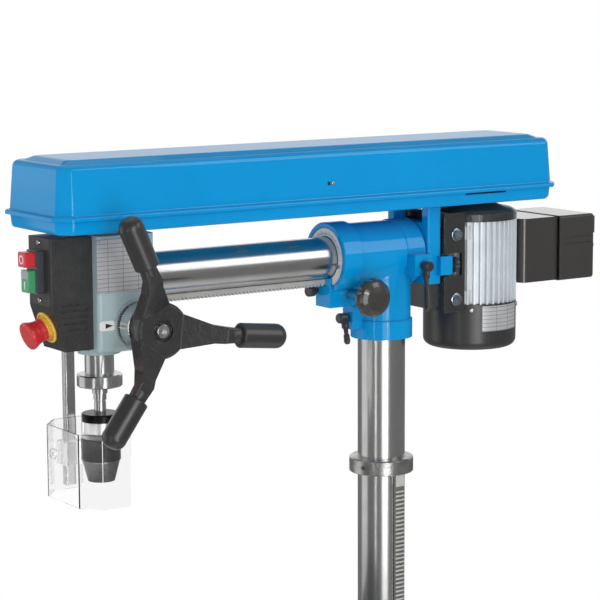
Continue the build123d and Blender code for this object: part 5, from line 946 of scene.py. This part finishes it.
# %% Room
BACKDROP_WAY = (-0.828, 0.561, 0.0)
ROOM_LIGHT, MIRROR_ROOM = 0.46, 0.22
WALL_FULL, WALL_TOP, WALL_DIM, WALL_BRIGHT = 0.35, 0.65, 0.3, 0.8
world = bpy.data.worlds.new("studio_room")
bpy.context.scene.world = world
world.use_nodes = True
tree = world.node_tree
path = add_node(tree, "ShaderNodeLightPath").outputs
way = add_node(tree, "ShaderNodeTexCoord").outputs["Generated"]
behind = add_node(tree, "ShaderNodeVectorMath", {0: way, 1: BACKDROP_WAY}, operation="DOT_PRODUCT")
rise = add_node(tree, "ShaderNodeSeparateXYZ", {0: way}).outputs
low = remap(tree, rise["Z"], WALL_FULL, WALL_TOP, 1.0, 0.0)
wall = calc(tree, "MULTIPLY", behind.outputs["Value"], low)
mirrored = remap(tree, wall, WALL_DIM, WALL_BRIGHT, MIRROR_ROOM, 1.0, interpolation_type="SMOOTHSTEP")
lit = add_node(tree, "ShaderNodeMix", {0: path["Is Glossy Ray"], 2: ROOM_LIGHT, 3: mirrored})
level = add_node(tree, "ShaderNodeMix", {0: seen_directly(tree, path), 2: lit.outputs[0], 3: 1.0})
tree.links.new(level.outputs[0], tree.nodes["Background"].inputs["Strength"])
tree.nodes["Background"].inputs["Color"].default_value = (1, 1, 1, 1)
print("room light", ROOM_LIGHT)

# %% [markdown]
# ## The lamps
# A wide soft box beside the camera draws the white band on the column, and a thin bright strip in
# front of it puts a crisp line on every rounded edge.  A thin strip on the other side of the camera
# and a dim board at the far left draw the two weaker ones.  A box high on the right is what the
# ram mirrors, because the ram lies across the view.  A weak box overhead lights the upper faces,
# and a fill from the front lifts the switch side; the steel does not mirror that fill.

# %% Lamps
def softbox(name, spot, aim, size, power):
    """A rectangular soft lamp that points at a spot."""
    lamp = bpy.data.lights.new(name, "AREA")
    lamp.shape = "RECTANGLE"
    lamp.size, lamp.size_y = size
    lamp.energy = power
    holder = bpy.data.objects.new(name, lamp)
    holder.location = spot
    holder.rotation_euler = (Vector(aim) - Vector(spot)).to_track_quat("-Z", "Y").to_euler()
    bpy.context.collection.objects.link(holder)
    return holder


softbox("key_box", (2.88, -0.94, 1.40), (0.0, -0.1, 1.40), (1.45, 2.6), 30)
softbox("edge_strip", (2.80, -0.65, 1.50), (0.0, -0.1, 1.45), (0.07, 2.0), 7)
softbox("left_strip", (1.50, -2.93, 1.30), (0.0, -0.1, 1.30), (0.13, 2.4), 5)
softbox("left_board", (-1.68, -2.34, 1.20), (0.0, -0.1, 1.20), (2.0, 2.2), 10)
softbox("right_box", (2.10, 1.45, 2.80), (0.0, -0.2, 1.45), (1.2, 1.8), 15)
softbox("top_box", (-0.6, -0.2, 3.6), (0.0, -0.1, 1.35), (2.4, 2.4), 6)
front_fill = softbox("front_fill", (0.2, -3.2, 1.60), (0.0, -0.2, 1.40), (2.0, 2.0), 12)
front_fill.visible_glossy = False
print("lamps ready")
